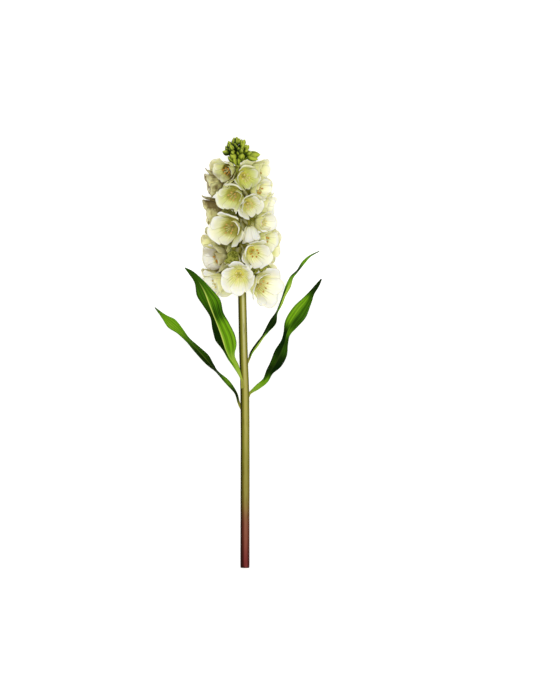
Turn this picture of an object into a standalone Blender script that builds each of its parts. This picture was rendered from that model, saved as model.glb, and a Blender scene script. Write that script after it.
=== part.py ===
"""A cut flower spike that lies on a surface: a stem, bells with their stamens, a tuft of buds and leaves.

The stem runs along +Y from its cut end to the buds, +X is the spike's right side and +Z is up from the surface.
The origin is on the surface, under the middle of the whole. Lengths are in metres.
"""

from collections import namedtuple
from math import cos, pi, radians, sin, sqrt

import bmesh
import bpy
from mathutils import Vector

MM = 0.001

# The stem, from its cut end: height along it, how far it lies to the right, and its radius
CUT_END_Y = -250 * MM
CUT_END_Z = 5.4 * MM
STEM_SLOPE = 0.108
STEM_TOP = 468 * MM
STEM_SIDES = 10
STEM_RINGS = 10
STEM_LINE = (
    (0 * MM, 8.1 * MM, 5.4 * MM),
    (195 * MM, 8.1 * MM, 5.2 * MM),
    (253 * MM, 6.4 * MM, 5.0 * MM),
    (320 * MM, 4.9 * MM, 4.8 * MM),
    (400 * MM, 3.1 * MM, 4.2 * MM),
    (468 * MM, -0.2 * MM, 2.8 * MM),
    (500 * MM, -1.6 * MM, 1.2 * MM),
)
GAP = 0.3 * MM
SHARP_ANGLE = 40

# Each bell: the height and azimuth of its mouth round the stem, its radius, how far its mouth is from the
# stem's axis, how far it nods, how wide it opens (-1 closed, 1 flat) and how far it is turned on its stalk
Bell = namedtuple("Bell", "height azimuth radius reach nod opening turn")
BELLS_IN_SIGHT = (
    Bell(460 * MM, 128, 15.0 * MM, 29 * MM, 14, 0.0, 10),
    Bell(453 * MM, 66, 16.5 * MM, 32 * MM, 10, -0.3, 40),
    Bell(460 * MM, 22, 15.0 * MM, 34 * MM, 8, 0.1, 0),
    Bell(446 * MM, 174, 15.5 * MM, 37 * MM, 10, 0.1, 25),
    Bell(431 * MM, 107, 17.0 * MM, 35 * MM, 18, -0.1, 15),
    Bell(421.5 * MM, 67, 14.8 * MM, 37 * MM, 14, 0.0, 50),
    Bell(438 * MM, 36, 14.5 * MM, 37 * MM, 10, 0.2, 5),
    Bell(415 * MM, 178, 16.5 * MM, 41 * MM, 14, 0.2, 35),
    Bell(394 * MM, 116, 20.5 * MM, 41 * MM, 12, 0.1, 20),
    Bell(420.5 * MM, 19, 14.5 * MM, 39 * MM, 10, 0.1, 30),
    Bell(401 * MM, 36, 15.0 * MM, 41 * MM, 12, 0.2, 45),
    Bell(359 * MM, 148, 17.5 * MM, 42 * MM, 12, 0.0, 10),
    Bell(366 * MM, 63, 18.5 * MM, 43 * MM, 14, 0.5, 30),
    Bell(381 * MM, 33, 14.5 * MM, 42 * MM, 12, 0.2, 55),
    Bell(336 * MM, 196, 16.0 * MM, 43 * MM, 12, 0.0, 30),
    Bell(330 * MM, 152, 16.5 * MM, 43 * MM, 14, 0.0, 50),
    Bell(340 * MM, 96, 18.5 * MM, 43 * MM, 12, 0.8, 30),
    Bell(328 * MM, 45, 21.0 * MM, 45 * MM, 10, 0.3, 0),
)

# Half-open bells that hang down between the others, with their green backs in sight
HANGING_BELLS = (
    Bell(380.5 * MM, 70, 14.3 * MM, 32 * MM, 80, -0.3, 0),
    Bell(354 * MM, 110, 12.5 * MM, 31 * MM, 80, -0.4, 20),
    Bell(345.5 * MM, 38, 10.5 * MM, 31 * MM, 76, -0.4, 40),
)

# The far side, row by row: the row's height, each bell's azimuth, and their radius and reach
FAR_ROWS = (
    (456 * MM, (220, 296), 15.5 * MM, 32 * MM),
    (433 * MM, (262, 316), 17.0 * MM, 37 * MM),
    (405 * MM, (232, 290), 18.5 * MM, 41 * MM),
    (372 * MM, (202, 264, 334), 18.5 * MM, 42 * MM),
    (334 * MM, (246, 311), 19.5 * MM, 43 * MM),
)
FAR_NOD = 12
FAR_OPENING = 0.1
FAR_TURN = 25

# A bell on the underside nods less, and its mouth stays clear of the surface
UNDER_NODS_LESS = 0.8
LEAST_CLEAR = 3 * MM

# A bell's shape, per mouth radius: share along a tepal, distance from the bell's axis and along it
BELL_DEPTH = 1.35
BELL_PROFILE = (
    (0.0, 0.12, 0.06),
    (0.2, 0.42, 0.24),
    (0.45, 0.64, 0.56),
    (0.65, 0.78, 0.90),
    (0.85, 0.92, 1.20),
    (1.0, 1.10, 1.35),
)
OPEN_OUT = 0.16
OPEN_FLAT = 0.16
TEPAL_SPREAD = ((0.0, 30), (0.25, 37), (0.55, 40), (0.8, 39), (0.93, 31), (1.0, 21))
TEPAL_ROWS = (0.0, 0.3, 0.68, 1.0)
PLAIN_TEPAL_ROWS = (0.0, 0.4, 1.0)
TEPALS = 6
TEPAL_THICK = 0.6 * MM
LAYER_STEP = 0.05
TIP_ROUND = 0.10
EDGE_CURL = 0.06
WAVE = 0.05
WAVES = 5
TEPAL_COLUMNS = (-1, 0, 1)

# Bells that meet press each other flat: where a bell's room is measured from, as a share of its depth, how
# softly its tepals turn along a wall, and the least room and margins that are left
BELL_HEART = 0.65
SOFTNESS = 8
LEAST_LEAN = 0.01
LEAST_ROOM = 1 * MM
BELL_MARGIN = 1.2 * MM
FLOOR_MARGIN = 1.3 * MM
CEILING = 473 * MM

# The green seat under the tepals, per mouth radius: distance along the bell's axis and radius
SEAT_PROFILE = ((0.0, 0.15), (0.06, 0.26), (0.2, 0.29))
SEAT_SIDES = 5
STALK_RADIUS = 1.7 * MM
STALK_SIDES = 4
STALK_RISE = 6 * MM
STALK_BEND = 0.55
STALK_STEPS = (0.0, 0.55, 1.0)
HIGHEST_STALK = 464 * MM

# Stamens, per mouth radius
STAMEN_DISC = 0.16
STAMEN_DISC_THICK = 0.9 * MM
STAMEN_LENGTH = 0.92
STAMEN_ROOT = 0.08
STAMEN_SPREAD = 0.30
STAMEN_UNEVEN = 0.06
FILAMENT_RADIUS = 0.45 * MM
FILAMENT_SIDES = 3
ANTHER_RADIUS = 1.0 * MM
PISTIL_LENGTH = 1.0
PISTIL_TIP_RADIUS = 0.54 * MM

# Buds: a golden-angle spiral round the stem's tip, with the first one's azimuth, and the lower buds beside it
Bud = namedtuple("Bud", "height azimuth reach radius length lean spread")
BUD_COUNT = 14
BUD_SIDES = 5
BUD_START = 20
BUD_TURN = 137.5
BUD_LOWEST = 481 * MM
BUD_HIGHEST = 497 * MM
BUD_REACH = 15.0 * MM
BUD_RADII = (4.2 * MM, 3.0 * MM)
BUD_LENGTHS = (9.0 * MM, 6.5 * MM)
LOWER_BUDS = (
    Bud(479 * MM, 14, 19 * MM, 4.4 * MM, 13 * MM, 0.1, 1),
    Bud(478.5 * MM, 62, 10 * MM, 4.2 * MM, 9 * MM, 0.7, 1),
    Bud(478.5 * MM, 122, 10 * MM, 4.2 * MM, 9 * MM, 0.5, 1),
)
BUD_SHAPE = ((0.0, 0.45), (0.3, 1.0), (0.7, 0.85), (1.0, 0.2))
BUD_LEAN = 0.35
BUD_LEAST_SPREAD = 0.2
BUD_STALK = 0.9 * MM
BUD_STALK_SIDES = 3
BUD_STALK_DROP = 7 * MM
BUD_SEAT = 0.25
TIP_START = 468.3 * MM
TIP_HEIGHTS = (TIP_START, 480 * MM, 490 * MM, 498 * MM)
TIP_SIDES = 8
LOWEST_BUD_STALK = TIP_START + 2 * MM

# Leaves, from root to tip: the midrib's X, Y and Z, then how far the left and the right edge stand off it
# across and up, all in millimetres
Station = namedtuple("Station", "x y z left left_rise right right_rise")
LEAF_THICK = 0.7 * MM
LEAF_ROWS = 15
LEAF_STEPS_ACROSS = 4
LEAF_BOW = 0.25
LEAF_AHEAD = 0.02
LEAVES = {
    "leaf_lower_left": (
        Station(1.1, -58.6, 26, 1.4, 1, 1.4, -1),
        Station(-2.5, -47.1, 28.6, 1.4, 3, 1.6, -2),
        Station(-12.6, -34.2, 31, 2.2, 4, 3.0, -3),
        Station(-24.2, -22.6, 34, 1.3, 5, 1.3, -4),
        Station(-30.6, -15.5, 35.2, 2.6, 4, 3.2, -4),
        Station(-38.3, -6.5, 36, 3.9, 3, 5.6, -3),
        Station(-48.7, 5.1, 35.7, 4.1, 4, 3.6, -4),
        Station(-57.7, 14.8, 34.2, 3.0, 5, 2.6, -4),
        Station(-67.3, 25.1, 30.8, 4.2, 4, 4.2, -4),
        Station(-77.0, 33.4, 26.5, 6.0, 2, 6.6, 1),
        Station(-86.0, 41.8, 21, 3.0, 1, 3.0, 1),
        Station(-96.6, 52.4, 14, 0.5, 0, 0.5, 0),
    ),
    "leaf_upper_left": (
        Station(4.0, -30.7, 34.5, 1.2, 0, 1.6, 0),
        Station(-1.6, -17.5, 38.5, 2.6, 2, 3.4, 2),
        Station(-9.4, -6.9, 43, 2.2, 4, 7.0, 2),
        Station(-14.4, 3.2, 48, 2.6, 4, 13.6, 3),
        Station(-18.0, 16.0, 52.5, 8.4, 4, 15.4, 3),
        Station(-22.6, 28.9, 58, 7.0, 4, 13.6, 4),
        Station(-27.8, 41.8, 63, 4.2, 4, 12.0, 3),
        Station(-33.4, 56.6, 68, 7.4, 4, 14.0, 2),
        Station(-38.4, 70.2, 72.5, 10.0, 2, 8.6, 1),
        Station(-46.1, 83.1, 75.5, 4.8, 2, 4.8, -1),
        Station(-54.5, 92.1, 77, 2.4, 2, 3.2, -1),
        Station(-61.5, 98.3, 77, 0.5, 0, 0.5, 0),
    ),
    "leaf_upper_right": (
        Station(13.1, -7.1, 31.6, 1.3, 0, 1.3, 0),
        Station(16.0, 0.3, 34.2, 1.6, 2, 1.6, -1),
        Station(21.8, 8.7, 37.3, 1.8, 3, 2.2, -2),
        Station(28.9, 18.4, 40.5, 1.6, 4, 1.6, -3),
        Station(34.1, 26.1, 42.8, 2.6, 4, 2.6, -3),
        Station(40.5, 35.8, 45.3, 3.4, 4, 4.4, -3),
        Station(45.0, 46.1, 47.5, 1.2, 5, 1.2, -4),
        Station(49.6, 56.4, 49.5, 1.6, 5, 1.8, -4),
        Station(53.4, 66.7, 51, 1.4, 4, 2.4, -4),
        Station(57.9, 77.0, 52.2, 2.2, 4, 3.6, -4),
        Station(62.4, 87.3, 53, 2.0, 4, 2.0, -4),
        Station(69.5, 95.1, 53, 1.2, 4, 1.2, -3),
        Station(76.0, 104.1, 52.7, 1.8, 3, 1.8, -3),
        Station(83.7, 111.8, 52, 1.1, 1, 1.1, -1),
        Station(94.7, 117.6, 51, 0.5, 0, 0.5, 0),
    ),
    "leaf_lower_right": (
        Station(14.2, -47.0, 27.3, 1.5, 1, 1.5, -1),
        Station(23.1, -39.6, 29.5, 2.8, 2, 3.2, -2),
        Station(31.5, -31.9, 31, 2.6, 3, 4.0, -2),
        Station(37.3, -22.2, 32.5, 4.6, 3, 4.0, -2),
        Station(44.4, -11.9, 34, 6.7, 3, 7.4, -1),
        Station(49.6, -0.3, 35, 7.0, 3, 8.0, 0),
        Station(54.1, 11.3, 35.6, 4.8, 4, 4.4, -1),
        Station(56.4, 21.6, 36, 3.9, 4, 4.4, -2),
        Station(61.8, 33.8, 34.9, 7.5, 3, 8.6, -1),
        Station(70.8, 47.4, 32.6, 8.4, 3, 10.4, 0),
        Station(79.8, 59.0, 29.3, 6.4, 2, 6.0, 1),
        Station(85.7, 69.3, 26, 2.6, 3, 3.0, -2),
        Station(92.1, 77.7, 22.3, 1.8, 1, 1.8, -1),
        Station(97.0, 85.4, 19, 0.5, 0, 0.5, 0),
    ),
}

Finish = namedtuple("Finish", "name colour roughness")
STEM_GREEN = Finish("stem_green", (0.20, 0.25, 0.05), 0.5)
LEAF_GREEN = Finish("leaf_green", (0.05, 0.22, 0.02), 0.35)
PETAL_CREAM = Finish("petal_cream", (0.78, 0.80, 0.56), 0.55)
STAMEN_YELLOW = Finish("stamen_yellow", (0.75, 0.50, 0.10), 0.6)
BUD_GREEN = Finish("bud_green", (0.25, 0.40, 0.06), 0.45)


def clear_scene():
    for item in list(bpy.data.objects):
        bpy.data.objects.remove(item, do_unlink=True)


def material_of(finish):
    """The finish as a material, made once."""
    found = bpy.data.materials.get(finish.name)
    if found:
        return found
    made = bpy.data.materials.new(finish.name)
    made.use_nodes = True
    shader = made.node_tree.nodes["Principled BSDF"]
    shader.inputs["Base Color"].default_value = (*finish.colour, 1)
    shader.inputs["Roughness"].default_value = finish.roughness
    shader.inputs["Metallic"].default_value = 0
    return made


def object_from(name, points, faces):
    """A linked mesh object with its faces turned outwards."""
    mesh = bpy.data.meshes.new(name)
    mesh.from_pydata([tuple(p) for p in points], [], faces)
    shape = bmesh.new()
    shape.from_mesh(mesh)
    bmesh.ops.recalc_face_normals(shape, faces=shape.faces)
    shape.to_mesh(mesh)
    shape.free()
    made = bpy.data.objects.new(name, mesh)
    bpy.context.scene.collection.objects.link(made)
    return made


def smooth_values(rows, at):
    """The other columns of rows at a value of their first one, on a smooth curve through all the rows."""
    at = min(max(at, rows[0][0]), rows[-1][0])
    last = len(rows) - 1
    k = min(sum(row[0] < at for row in rows[1:]), last - 1)
    before, after = rows[k], rows[k + 1]
    step = after[0] - before[0]
    t = (at - before[0]) / step

    def slope(index, column):
        low, high = max(index - 1, 0), min(index + 1, last)
        return (rows[high][column] - rows[low][column]) / (rows[high][0] - rows[low][0])

    found = []
    for column in range(1, len(before)):
        start, end = before[column], after[column]
        start_slope = slope(k, column) * step
        end_slope = slope(k + 1, column) * step
        found.append(
            (2 * t**3 - 3 * t**2 + 1) * start
            + (t**3 - 2 * t**2 + t) * start_slope
            + (3 * t**2 - 2 * t**3) * end
            + (t**3 - t**2) * end_slope
        )
    return found


# The stem's own directions: along it, and up from it
ALONG = Vector((0, 1, STEM_SLOPE)).normalized()
RIGHT = Vector((1, 0, 0))
UP = RIGHT.cross(ALONG)


def stem_point(height):
    aside, _ = smooth_values(STEM_LINE, height)
    return Vector((aside, CUT_END_Y + height, CUT_END_Z + STEM_SLOPE * height))


def stem_radius(height):
    return smooth_values(STEM_LINE, height)[1]


def outward(azimuth):
    """The direction out from the stem, 0 to its right and 90 up."""
    return cos(radians(azimuth)) * RIGHT + sin(radians(azimuth)) * UP


def tube(name, centres, radii, sides, end_direction=None):
    """A closed round solid along the centres, with flat ends, the last one square to end_direction."""
    points = []
    last = len(centres) - 1
    for k, (centre, radius) in enumerate(zip(centres, radii)):
        direction = (centres[min(k + 1, last)] - centres[max(k - 1, 0)]).normalized()
        if k == last and end_direction:
            direction = end_direction
        side = direction.orthogonal() if k == 0 else side - direction * side.dot(direction)
        side.normalize()
        other = direction.cross(side)
        for s in range(sides):
            turn = 2 * pi * s / sides
            points.append(centre + radius * (cos(turn) * side + sin(turn) * other))
    faces = [tuple(range(sides)), tuple(last * sides + s for s in range(sides))]
    for k in range(last):
        for s in range(sides):
            here, there = k * sides, (k + 1) * sides
            after = (s + 1) % sides
            faces.append((here + s, here + after, there + after, there + s))
    return object_from(name, points, faces)


def thick_blade(name, rows, thickness):
    """A blade from rows of points, split into triangles alike on both faces."""
    across = len(rows[0])
    points = [point for row in rows for point in row]
    faces = []
    for r in range(len(rows) - 1):
        for c in range(across - 1):
            a = r * across + c
            b, d = a + 1, a + across
            faces += [(a, b, d + 1), (a, d + 1, d)] if c < across // 2 else [(a, b, d), (b, d + 1, d)]
    blade = object_from(name, points, faces)
    solid = blade.modifiers.new("Thickness", "SOLIDIFY")
    solid.thickness = thickness
    solid.offset = 0
    return blade


def largest_body(mesh):
    """Leaves only the mesh's largest body, without sealed hollows or loose scraps."""
    shape = bmesh.new()
    shape.from_mesh(mesh)
    bmesh.ops.triangulate(shape, faces=shape.faces)
    left = set(shape.faces)
    bodies = []
    while left:
        body, edge = set(), [next(iter(left))]
        while edge:
            face = edge.pop()
            if face in body:
                continue
            body.add(face)
            edge += [other for side in face.edges for other in side.link_faces if other not in body]
        left -= body
        bodies.append(body)
    kept = max(bodies, key=lambda body: sum(face.calc_area() for face in body))
    bmesh.ops.delete(shape, geom=[face for face in shape.faces if face not in kept], context="FACES")
    shape.to_mesh(mesh)
    shape.free()


def fuse(name, pieces, finish):
    """One solid from pieces that overlap."""
    first, *rest = pieces
    group = bpy.data.collections.new(name + "_pieces")
    for piece in rest:
        group.objects.link(piece)
    union = first.modifiers.new("Union", "BOOLEAN")
    union.operation = "UNION"
    union.solver = "EXACT"
    union.operand_type = "COLLECTION"
    union.collection = group
    graph = bpy.context.evaluated_depsgraph_get()
    mesh = bpy.data.meshes.new_from_object(first.evaluated_get(graph))
    for piece in pieces:
        bpy.data.objects.remove(piece, do_unlink=True)
    bpy.data.collections.remove(group)
    largest_body(mesh)
    return finished(name, mesh, finish)


def finished(name, mesh, finish):
    """The mesh as a node with its finish, shaded smooth apart from its sharp edges."""
    mesh.materials.clear()
    mesh.materials.append(material_of(finish))
    mesh.shade_smooth()
    mesh.set_sharp_from_angle(angle=radians(SHARP_ANGLE))
    made = bpy.data.objects.new(name, mesh)
    bpy.context.scene.collection.objects.link(made)
    return made


def far_bells():
    """The bells on the side away from the viewer."""
    found = []
    for height, azimuths, radius, reach in FAR_ROWS:
        for azimuth in azimuths:
            found.append(Bell(height, azimuth, radius, reach, FAR_NOD, FAR_OPENING, FAR_TURN * len(found)))
    return found


class BellPlace:
    """Where a bell's base is, which way it faces, and how much room it has."""

    def __init__(self, bell, seed):
        self.seed = seed
        self.opening = bell.opening
        self.radius = bell.radius
        self.depth = BELL_DEPTH * bell.radius * (1 - OPEN_FLAT * bell.opening)
        out = outward(bell.azimuth)
        level = max(0.0, -out.z)
        nod = radians(bell.nod * (1 - UNDER_NODS_LESS * level))
        centre = stem_point(bell.height)
        reach = bell.reach
        if level:
            reach = min(reach, (centre.z - LEAST_CLEAR) / level)
        self.axis = cos(nod) * out - sin(nod) * ALONG
        self.base = centre + reach * out - self.depth * self.axis
        self.middle = self.base + BELL_HEART * self.depth * self.axis
        self.side = self.axis.cross(ALONG).normalized()
        self.other = self.axis.cross(self.side)
        self.turn = radians(bell.turn)
        self.stalk_height = min(bell.height + self.depth * sin(nod) + STALK_RISE, HIGHEST_STALK)
        self.walls = []

    def make_room(self, others):
        """Sets the flat walls that keep the bell off its neighbours, the surface and the buds."""
        for other in others:
            if other is self:
                continue
            step = other.middle - self.middle
            apart = step.length
            near = (apart**2 + self.radius**2 - other.radius**2) / (2 * apart)
            self.walls.append((step / apart, self.middle, near - BELL_MARGIN))
        self.walls.append((Vector((0, 0, -1)), Vector((0, 0, 0)), -FLOOR_MARGIN))
        self.walls.append((ALONG, stem_point(CEILING), 0.0))

    def direction(self, turn):
        """Straight out from the bell's axis."""
        return cos(turn) * self.side + sin(turn) * self.other

    def drawn_in(self, turn, distance, along):
        """The distance from the bell's axis, less where a wall is near."""
        direction = self.direction(turn)
        on_axis = self.base + along * self.axis
        total = distance**-SOFTNESS
        for normal, through, limit in self.walls:
            lean = direction.dot(normal)
            if lean > LEAST_LEAN:
                room = max(limit - (on_axis - through).dot(normal), LEAST_ROOM)
                total += (room / lean) ** -SOFTNESS
        return total ** (-1 / SOFTNESS)

    def point(self, turn, distance, along):
        return self.base + along * self.axis + distance * self.direction(turn)

    def tepal_point(self, index, share, across):
        """A point of one tepal: share runs from its root to its tip, across from -1 to 1."""
        outer = 1 if index % 2 == 0 else -1
        share *= 1 - TIP_ROUND * across**2 * share**2
        distance, along = smooth_values(BELL_PROFILE, share)
        distance *= 1 + OPEN_OUT * self.opening * share**2
        along *= 1 - OPEN_FLAT * self.opening * share**2
        (spread,) = smooth_values(TEPAL_SPREAD, share)
        turn = self.turn + 2 * pi * index / TEPALS + radians(spread) * across
        wave = WAVE * share**2 * sin(WAVES * turn + self.seed)
        layer = outer * (LAYER_STEP + EDGE_CURL * across**2 * share**2)
        radius = self.radius
        drawn_in = self.drawn_in(turn, (distance + wave) * radius, along * radius)
        return self.point(turn, drawn_in + layer * radius, along * radius)


def tepal(place, index, shares):
    rows = []
    for share in shares:
        rows.append([place.tepal_point(index, share, across) for across in TEPAL_COLUMNS])
    return thick_blade("tepal", rows, TEPAL_THICK)


def seat(place):
    """The small green cup that carries the tepals."""
    centres = [place.base + along * place.radius * place.axis for along, _ in SEAT_PROFILE]
    radii = [radius * place.radius for _, radius in SEAT_PROFILE]
    return tube("seat", centres, radii, SEAT_SIDES)


def bloom(name, place, shares):
    """One bell: its seat and its tepals, each with a row of points at every share of its length."""
    pieces = [seat(place)] + [tepal(place, index, shares) for index in range(TEPALS)]
    return fuse(name, pieces, PETAL_CREAM)


def stamen(place, index, floor):
    """One filament that ends in a thick anther."""
    turn = place.turn + 2 * pi * (index + 0.5) / TEPALS
    length = STAMEN_LENGTH + STAMEN_UNEVEN * sin(3 * index + place.seed)
    top = place.radius * length * (1 - OPEN_FLAT * place.opening)
    spread = STAMEN_SPREAD * place.drawn_in(turn, place.radius, top)
    root = place.point(turn, STAMEN_ROOT * place.radius, floor + 0.5 * STAMEN_DISC_THICK)
    ends = [root, place.point(turn, spread, top)]
    return tube("stamen", ends, (FILAMENT_RADIUS, ANTHER_RADIUS), FILAMENT_SIDES)


def stamens(name, place):
    """The stamens and the pistil of one bell, on the disc that they grow from."""
    floor = SEAT_PROFILE[-1][0] * place.radius + GAP
    disc_ends = [place.base + along * place.axis for along in (floor, floor + STAMEN_DISC_THICK)]
    disc = tube("disc", disc_ends, [STAMEN_DISC * place.radius] * 2, SEAT_SIDES)
    pistil_top = PISTIL_LENGTH * place.radius * (1 - OPEN_FLAT * place.opening)
    pistil_ends = [place.base + along * place.axis for along in (floor + 0.5 * STAMEN_DISC_THICK, pistil_top)]
    pistil = tube("pistil", pistil_ends, (FILAMENT_RADIUS, PISTIL_TIP_RADIUS), FILAMENT_SIDES)
    pieces = [disc, pistil] + [stamen(place, index, floor) for index in range(TEPALS)]
    return fuse(name, pieces, STAMEN_YELLOW)


def stalk(place):
    """The short curved stalk from inside the stem to just under the bell's seat."""
    start = stem_point(place.stalk_height)
    end = place.base - GAP * place.axis
    bend = end - STALK_BEND * (end - start).length * place.axis
    centres = []
    for t in STALK_STEPS:
        centres.append((1 - t) ** 2 * start + 2 * t * (1 - t) * bend + t**2 * end)
    return tube("stalk", centres, [STALK_RADIUS] * len(centres), STALK_SIDES, place.axis)


def stem(places):
    heights = [STEM_TOP * k / (STEM_RINGS - 1) for k in range(STEM_RINGS)]
    core = tube("core", [stem_point(h) for h in heights], [stem_radius(h) for h in heights], STEM_SIDES)
    return fuse("stem", [core] + [stalk(place) for place in places], STEM_GREEN)


def buds():
    """The spiral of buds, the lowest ones the largest and furthest out, and the lower buds beside it."""
    found = list(LOWER_BUDS)
    for k in range(BUD_COUNT):
        share = k / (BUD_COUNT - 1)
        height = BUD_LOWEST + (BUD_HIGHEST - BUD_LOWEST) * share
        reach = BUD_REACH * sqrt(max(1 - share, 0))
        radius = BUD_RADII[0] + (BUD_RADII[1] - BUD_RADII[0]) * share
        length = BUD_LENGTHS[0] + (BUD_LENGTHS[1] - BUD_LENGTHS[0]) * share
        spread = 1 - (1 - BUD_LEAST_SPREAD) * share
        found.append(Bud(height, BUD_START + BUD_TURN * k, reach, radius, length, BUD_LEAN + share, spread))
    return found


def bud_pieces(bud):
    """A closed bud, fattest below its middle, and its stalk."""
    out = outward(bud.azimuth)
    direction = (bud.lean * ALONG + bud.spread * out).normalized()
    base = stem_point(bud.height) + bud.reach * out - 0.5 * bud.length * direction
    centres = [base + share * bud.length * direction for share, _ in BUD_SHAPE]
    body = tube("bud", centres, [bud.radius * size for _, size in BUD_SHAPE], BUD_SIDES)
    foot = stem_point(max(bud.height - BUD_STALK_DROP, LOWEST_BUD_STALK))
    ends = [foot, base + BUD_SEAT * bud.length * direction]
    return [tube("bud_stalk", ends, [BUD_STALK] * 2, BUD_STALK_SIDES), body]


def bud_cluster():
    """The stem's tip and all its buds."""
    centres = [stem_point(height) for height in TIP_HEIGHTS]
    pieces = [tube("tip", centres, [stem_radius(height) for height in TIP_HEIGHTS], TIP_SIDES)]
    for bud in buds():
        pieces += bud_pieces(bud)
    return fuse("bud_cluster", pieces, BUD_GREEN)


def leaf_rows(stations):
    """Rows of points across the leaf, bowed between its midrib and its edges."""
    spaced = [(k / (len(stations) - 1), *[value * MM for value in row]) for k, row in enumerate(stations)]
    rows = []
    for r in range(LEAF_ROWS + 1):
        share = r / LEAF_ROWS
        x, y, z, left, left_rise, right, right_rise = smooth_values(spaced, share)
        ahead = smooth_values(spaced, min(share + LEAF_AHEAD, 1))
        behind = smooth_values(spaced, max(share - LEAF_AHEAD, 0))
        direction = Vector((ahead[0] - behind[0], ahead[1] - behind[1], 0)).normalized()
        leftward = Vector((-direction.y, direction.x, 0))
        row = []
        for c in range(LEAF_STEPS_ACROSS + 1):
            across = 2 * c / LEAF_STEPS_ACROSS - 1
            wide, rise = (left, left_rise) if across < 0 else (right, right_rise)
            bow = LEAF_BOW * abs(rise) * abs(across) * (1 - abs(across))
            offset = -across * wide * leftward + Vector((0, 0, abs(across) * rise - bow))
            row.append(Vector((x, y, z)) + offset)
        rows.append(row)
    return rows


def leaf(name, stations):
    blade = thick_blade(name + "_blade", leaf_rows(stations), LEAF_THICK)
    graph = bpy.context.evaluated_depsgraph_get()
    mesh = bpy.data.meshes.new_from_object(blade.evaluated_get(graph))
    bpy.data.objects.remove(blade, do_unlink=True)
    return finished(name, mesh, LEAF_GREEN)


def main():
    clear_scene()
    bells = [*BELLS_IN_SIGHT, *HANGING_BELLS, *far_bells()]
    places = [BellPlace(bell, seed) for seed, bell in enumerate(bells)]
    for place in places:
        place.make_room(places)
    stem(places)
    for number, place in enumerate(places, start=1):
        name = f"bloom_{number:02d}"
        if number <= len(BELLS_IN_SIGHT):
            bloom(name, place, TEPAL_ROWS)
            stamens(f"stamens_{number:02d}", place)
        else:
            bloom(name, place, PLAIN_TEPAL_ROWS)
    bud_cluster()
    for name, stations in LEAVES.items():
        leaf(name, stations)


main()
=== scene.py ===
"""A cut flower spike that lies on a pale surface, dressed for close views.

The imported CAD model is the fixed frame. Each of its nodes is replaced here by a finer mesh that is
worked out from the same driving sizes: the stem with its stalks, the bells with their petals and
stamens, the tuft of buds and the four leaves. Lengths are in metres, +Y runs along the stem from its
cut end to the buds, and +Z is up.
"""

from __future__ import annotations

import logging
import math
from dataclasses import asdict, dataclass, field, replace
from enum import Enum
from typing import Any, Callable

import bpy
import numpy as np
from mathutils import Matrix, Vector


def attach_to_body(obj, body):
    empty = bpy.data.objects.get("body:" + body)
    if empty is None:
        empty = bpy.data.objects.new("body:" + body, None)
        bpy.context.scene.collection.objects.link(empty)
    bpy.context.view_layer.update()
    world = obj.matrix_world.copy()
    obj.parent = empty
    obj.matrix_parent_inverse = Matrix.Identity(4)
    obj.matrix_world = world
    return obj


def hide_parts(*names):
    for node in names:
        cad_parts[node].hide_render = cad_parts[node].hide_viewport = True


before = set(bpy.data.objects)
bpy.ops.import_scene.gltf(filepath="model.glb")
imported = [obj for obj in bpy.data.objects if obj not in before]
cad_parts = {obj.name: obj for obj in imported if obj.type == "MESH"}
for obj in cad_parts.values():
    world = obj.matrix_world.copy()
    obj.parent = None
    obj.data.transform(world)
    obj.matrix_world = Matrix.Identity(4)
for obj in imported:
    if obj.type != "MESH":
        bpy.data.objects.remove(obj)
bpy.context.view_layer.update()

MM = 0.001
BODY = "root"
LOG = logging.getLogger("flower_spike")

# The angle between faces, in degrees, from which an edge stays sharp.
SHARP_ANGLE = 50.0

# The least length that a vector is divided by.
LEAST_LENGTH = 1e-12

Array = np.ndarray
Material = bpy.types.Material
Piece = bpy.types.Object
Socket = bpy.types.NodeSocket
Colour = tuple[float, float, float]
Tint = Socket | Colour
Numbers = dict[str, Array | float]

WHITE = (1.0, 1.0, 1.0)
BLACK = (0.0, 0.0, 0.0)

# The dark colour at the bottom of the throat of the darkest bells, on their petals, seats and
# threads: partly the throat's own colour and partly painted shade in the cup.
THROAT_DARK_AND_SHADE = (0.12, 0.095, 0.004)

TO_THE_RIGHT = np.array((1.0, 0.0, 0.0))
STRAIGHT_UP = np.array((0.0, 0.0, 1.0))

# The sockets of a Mix node that hold its two colours and its result.
MIX_COLOURS = (6, 7)
MIX_RESULT = 2

# The room between two cells of the texture map, in shares of a cell.
CELL_GAP = 0.04

# Where the faces of a sheet and of a tube lie in their cell of the texture map: left, low, wide, high.
FRONT = (0.0, 0.08, 0.48, 0.92)
BEHIND = (0.52, 0.08, 0.48, 0.92)
RIM = (0.0, 0.0, 1.0, 0.05)
WALL = (0.0, 0.12, 1.0, 0.76)
FIRST_END = (0.0, 0.0, 0.1, 0.1)
LAST_END = (0.0, 0.9, 0.1, 0.1)


class Slot(Enum):
    """The record's material slots."""

    STEM = "stem_green"
    LEAF = "leaf_green"
    PETAL = "petal_cream"
    STAMEN = "stamen_yellow"
    BUD = "bud_green"


# Shader graphs


def operator(operation: str, reflected: bool = False) -> Callable[[Value, Value | float], Value]:
    """Makes the method of one Python operator.

    Args:
        operation: the operation of its Math node.
        reflected: whether the value is the operator's right-hand side.

    Returns:
        The method, which adds the node and gives its result.
    """

    def method(self: Value, other: Value | float) -> Value:
        """The operator on the value and another value or number."""
        first, second = (other, self) if reflected else (self, other)
        return self.graph.maths(operation, first, second)

    return method


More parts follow.
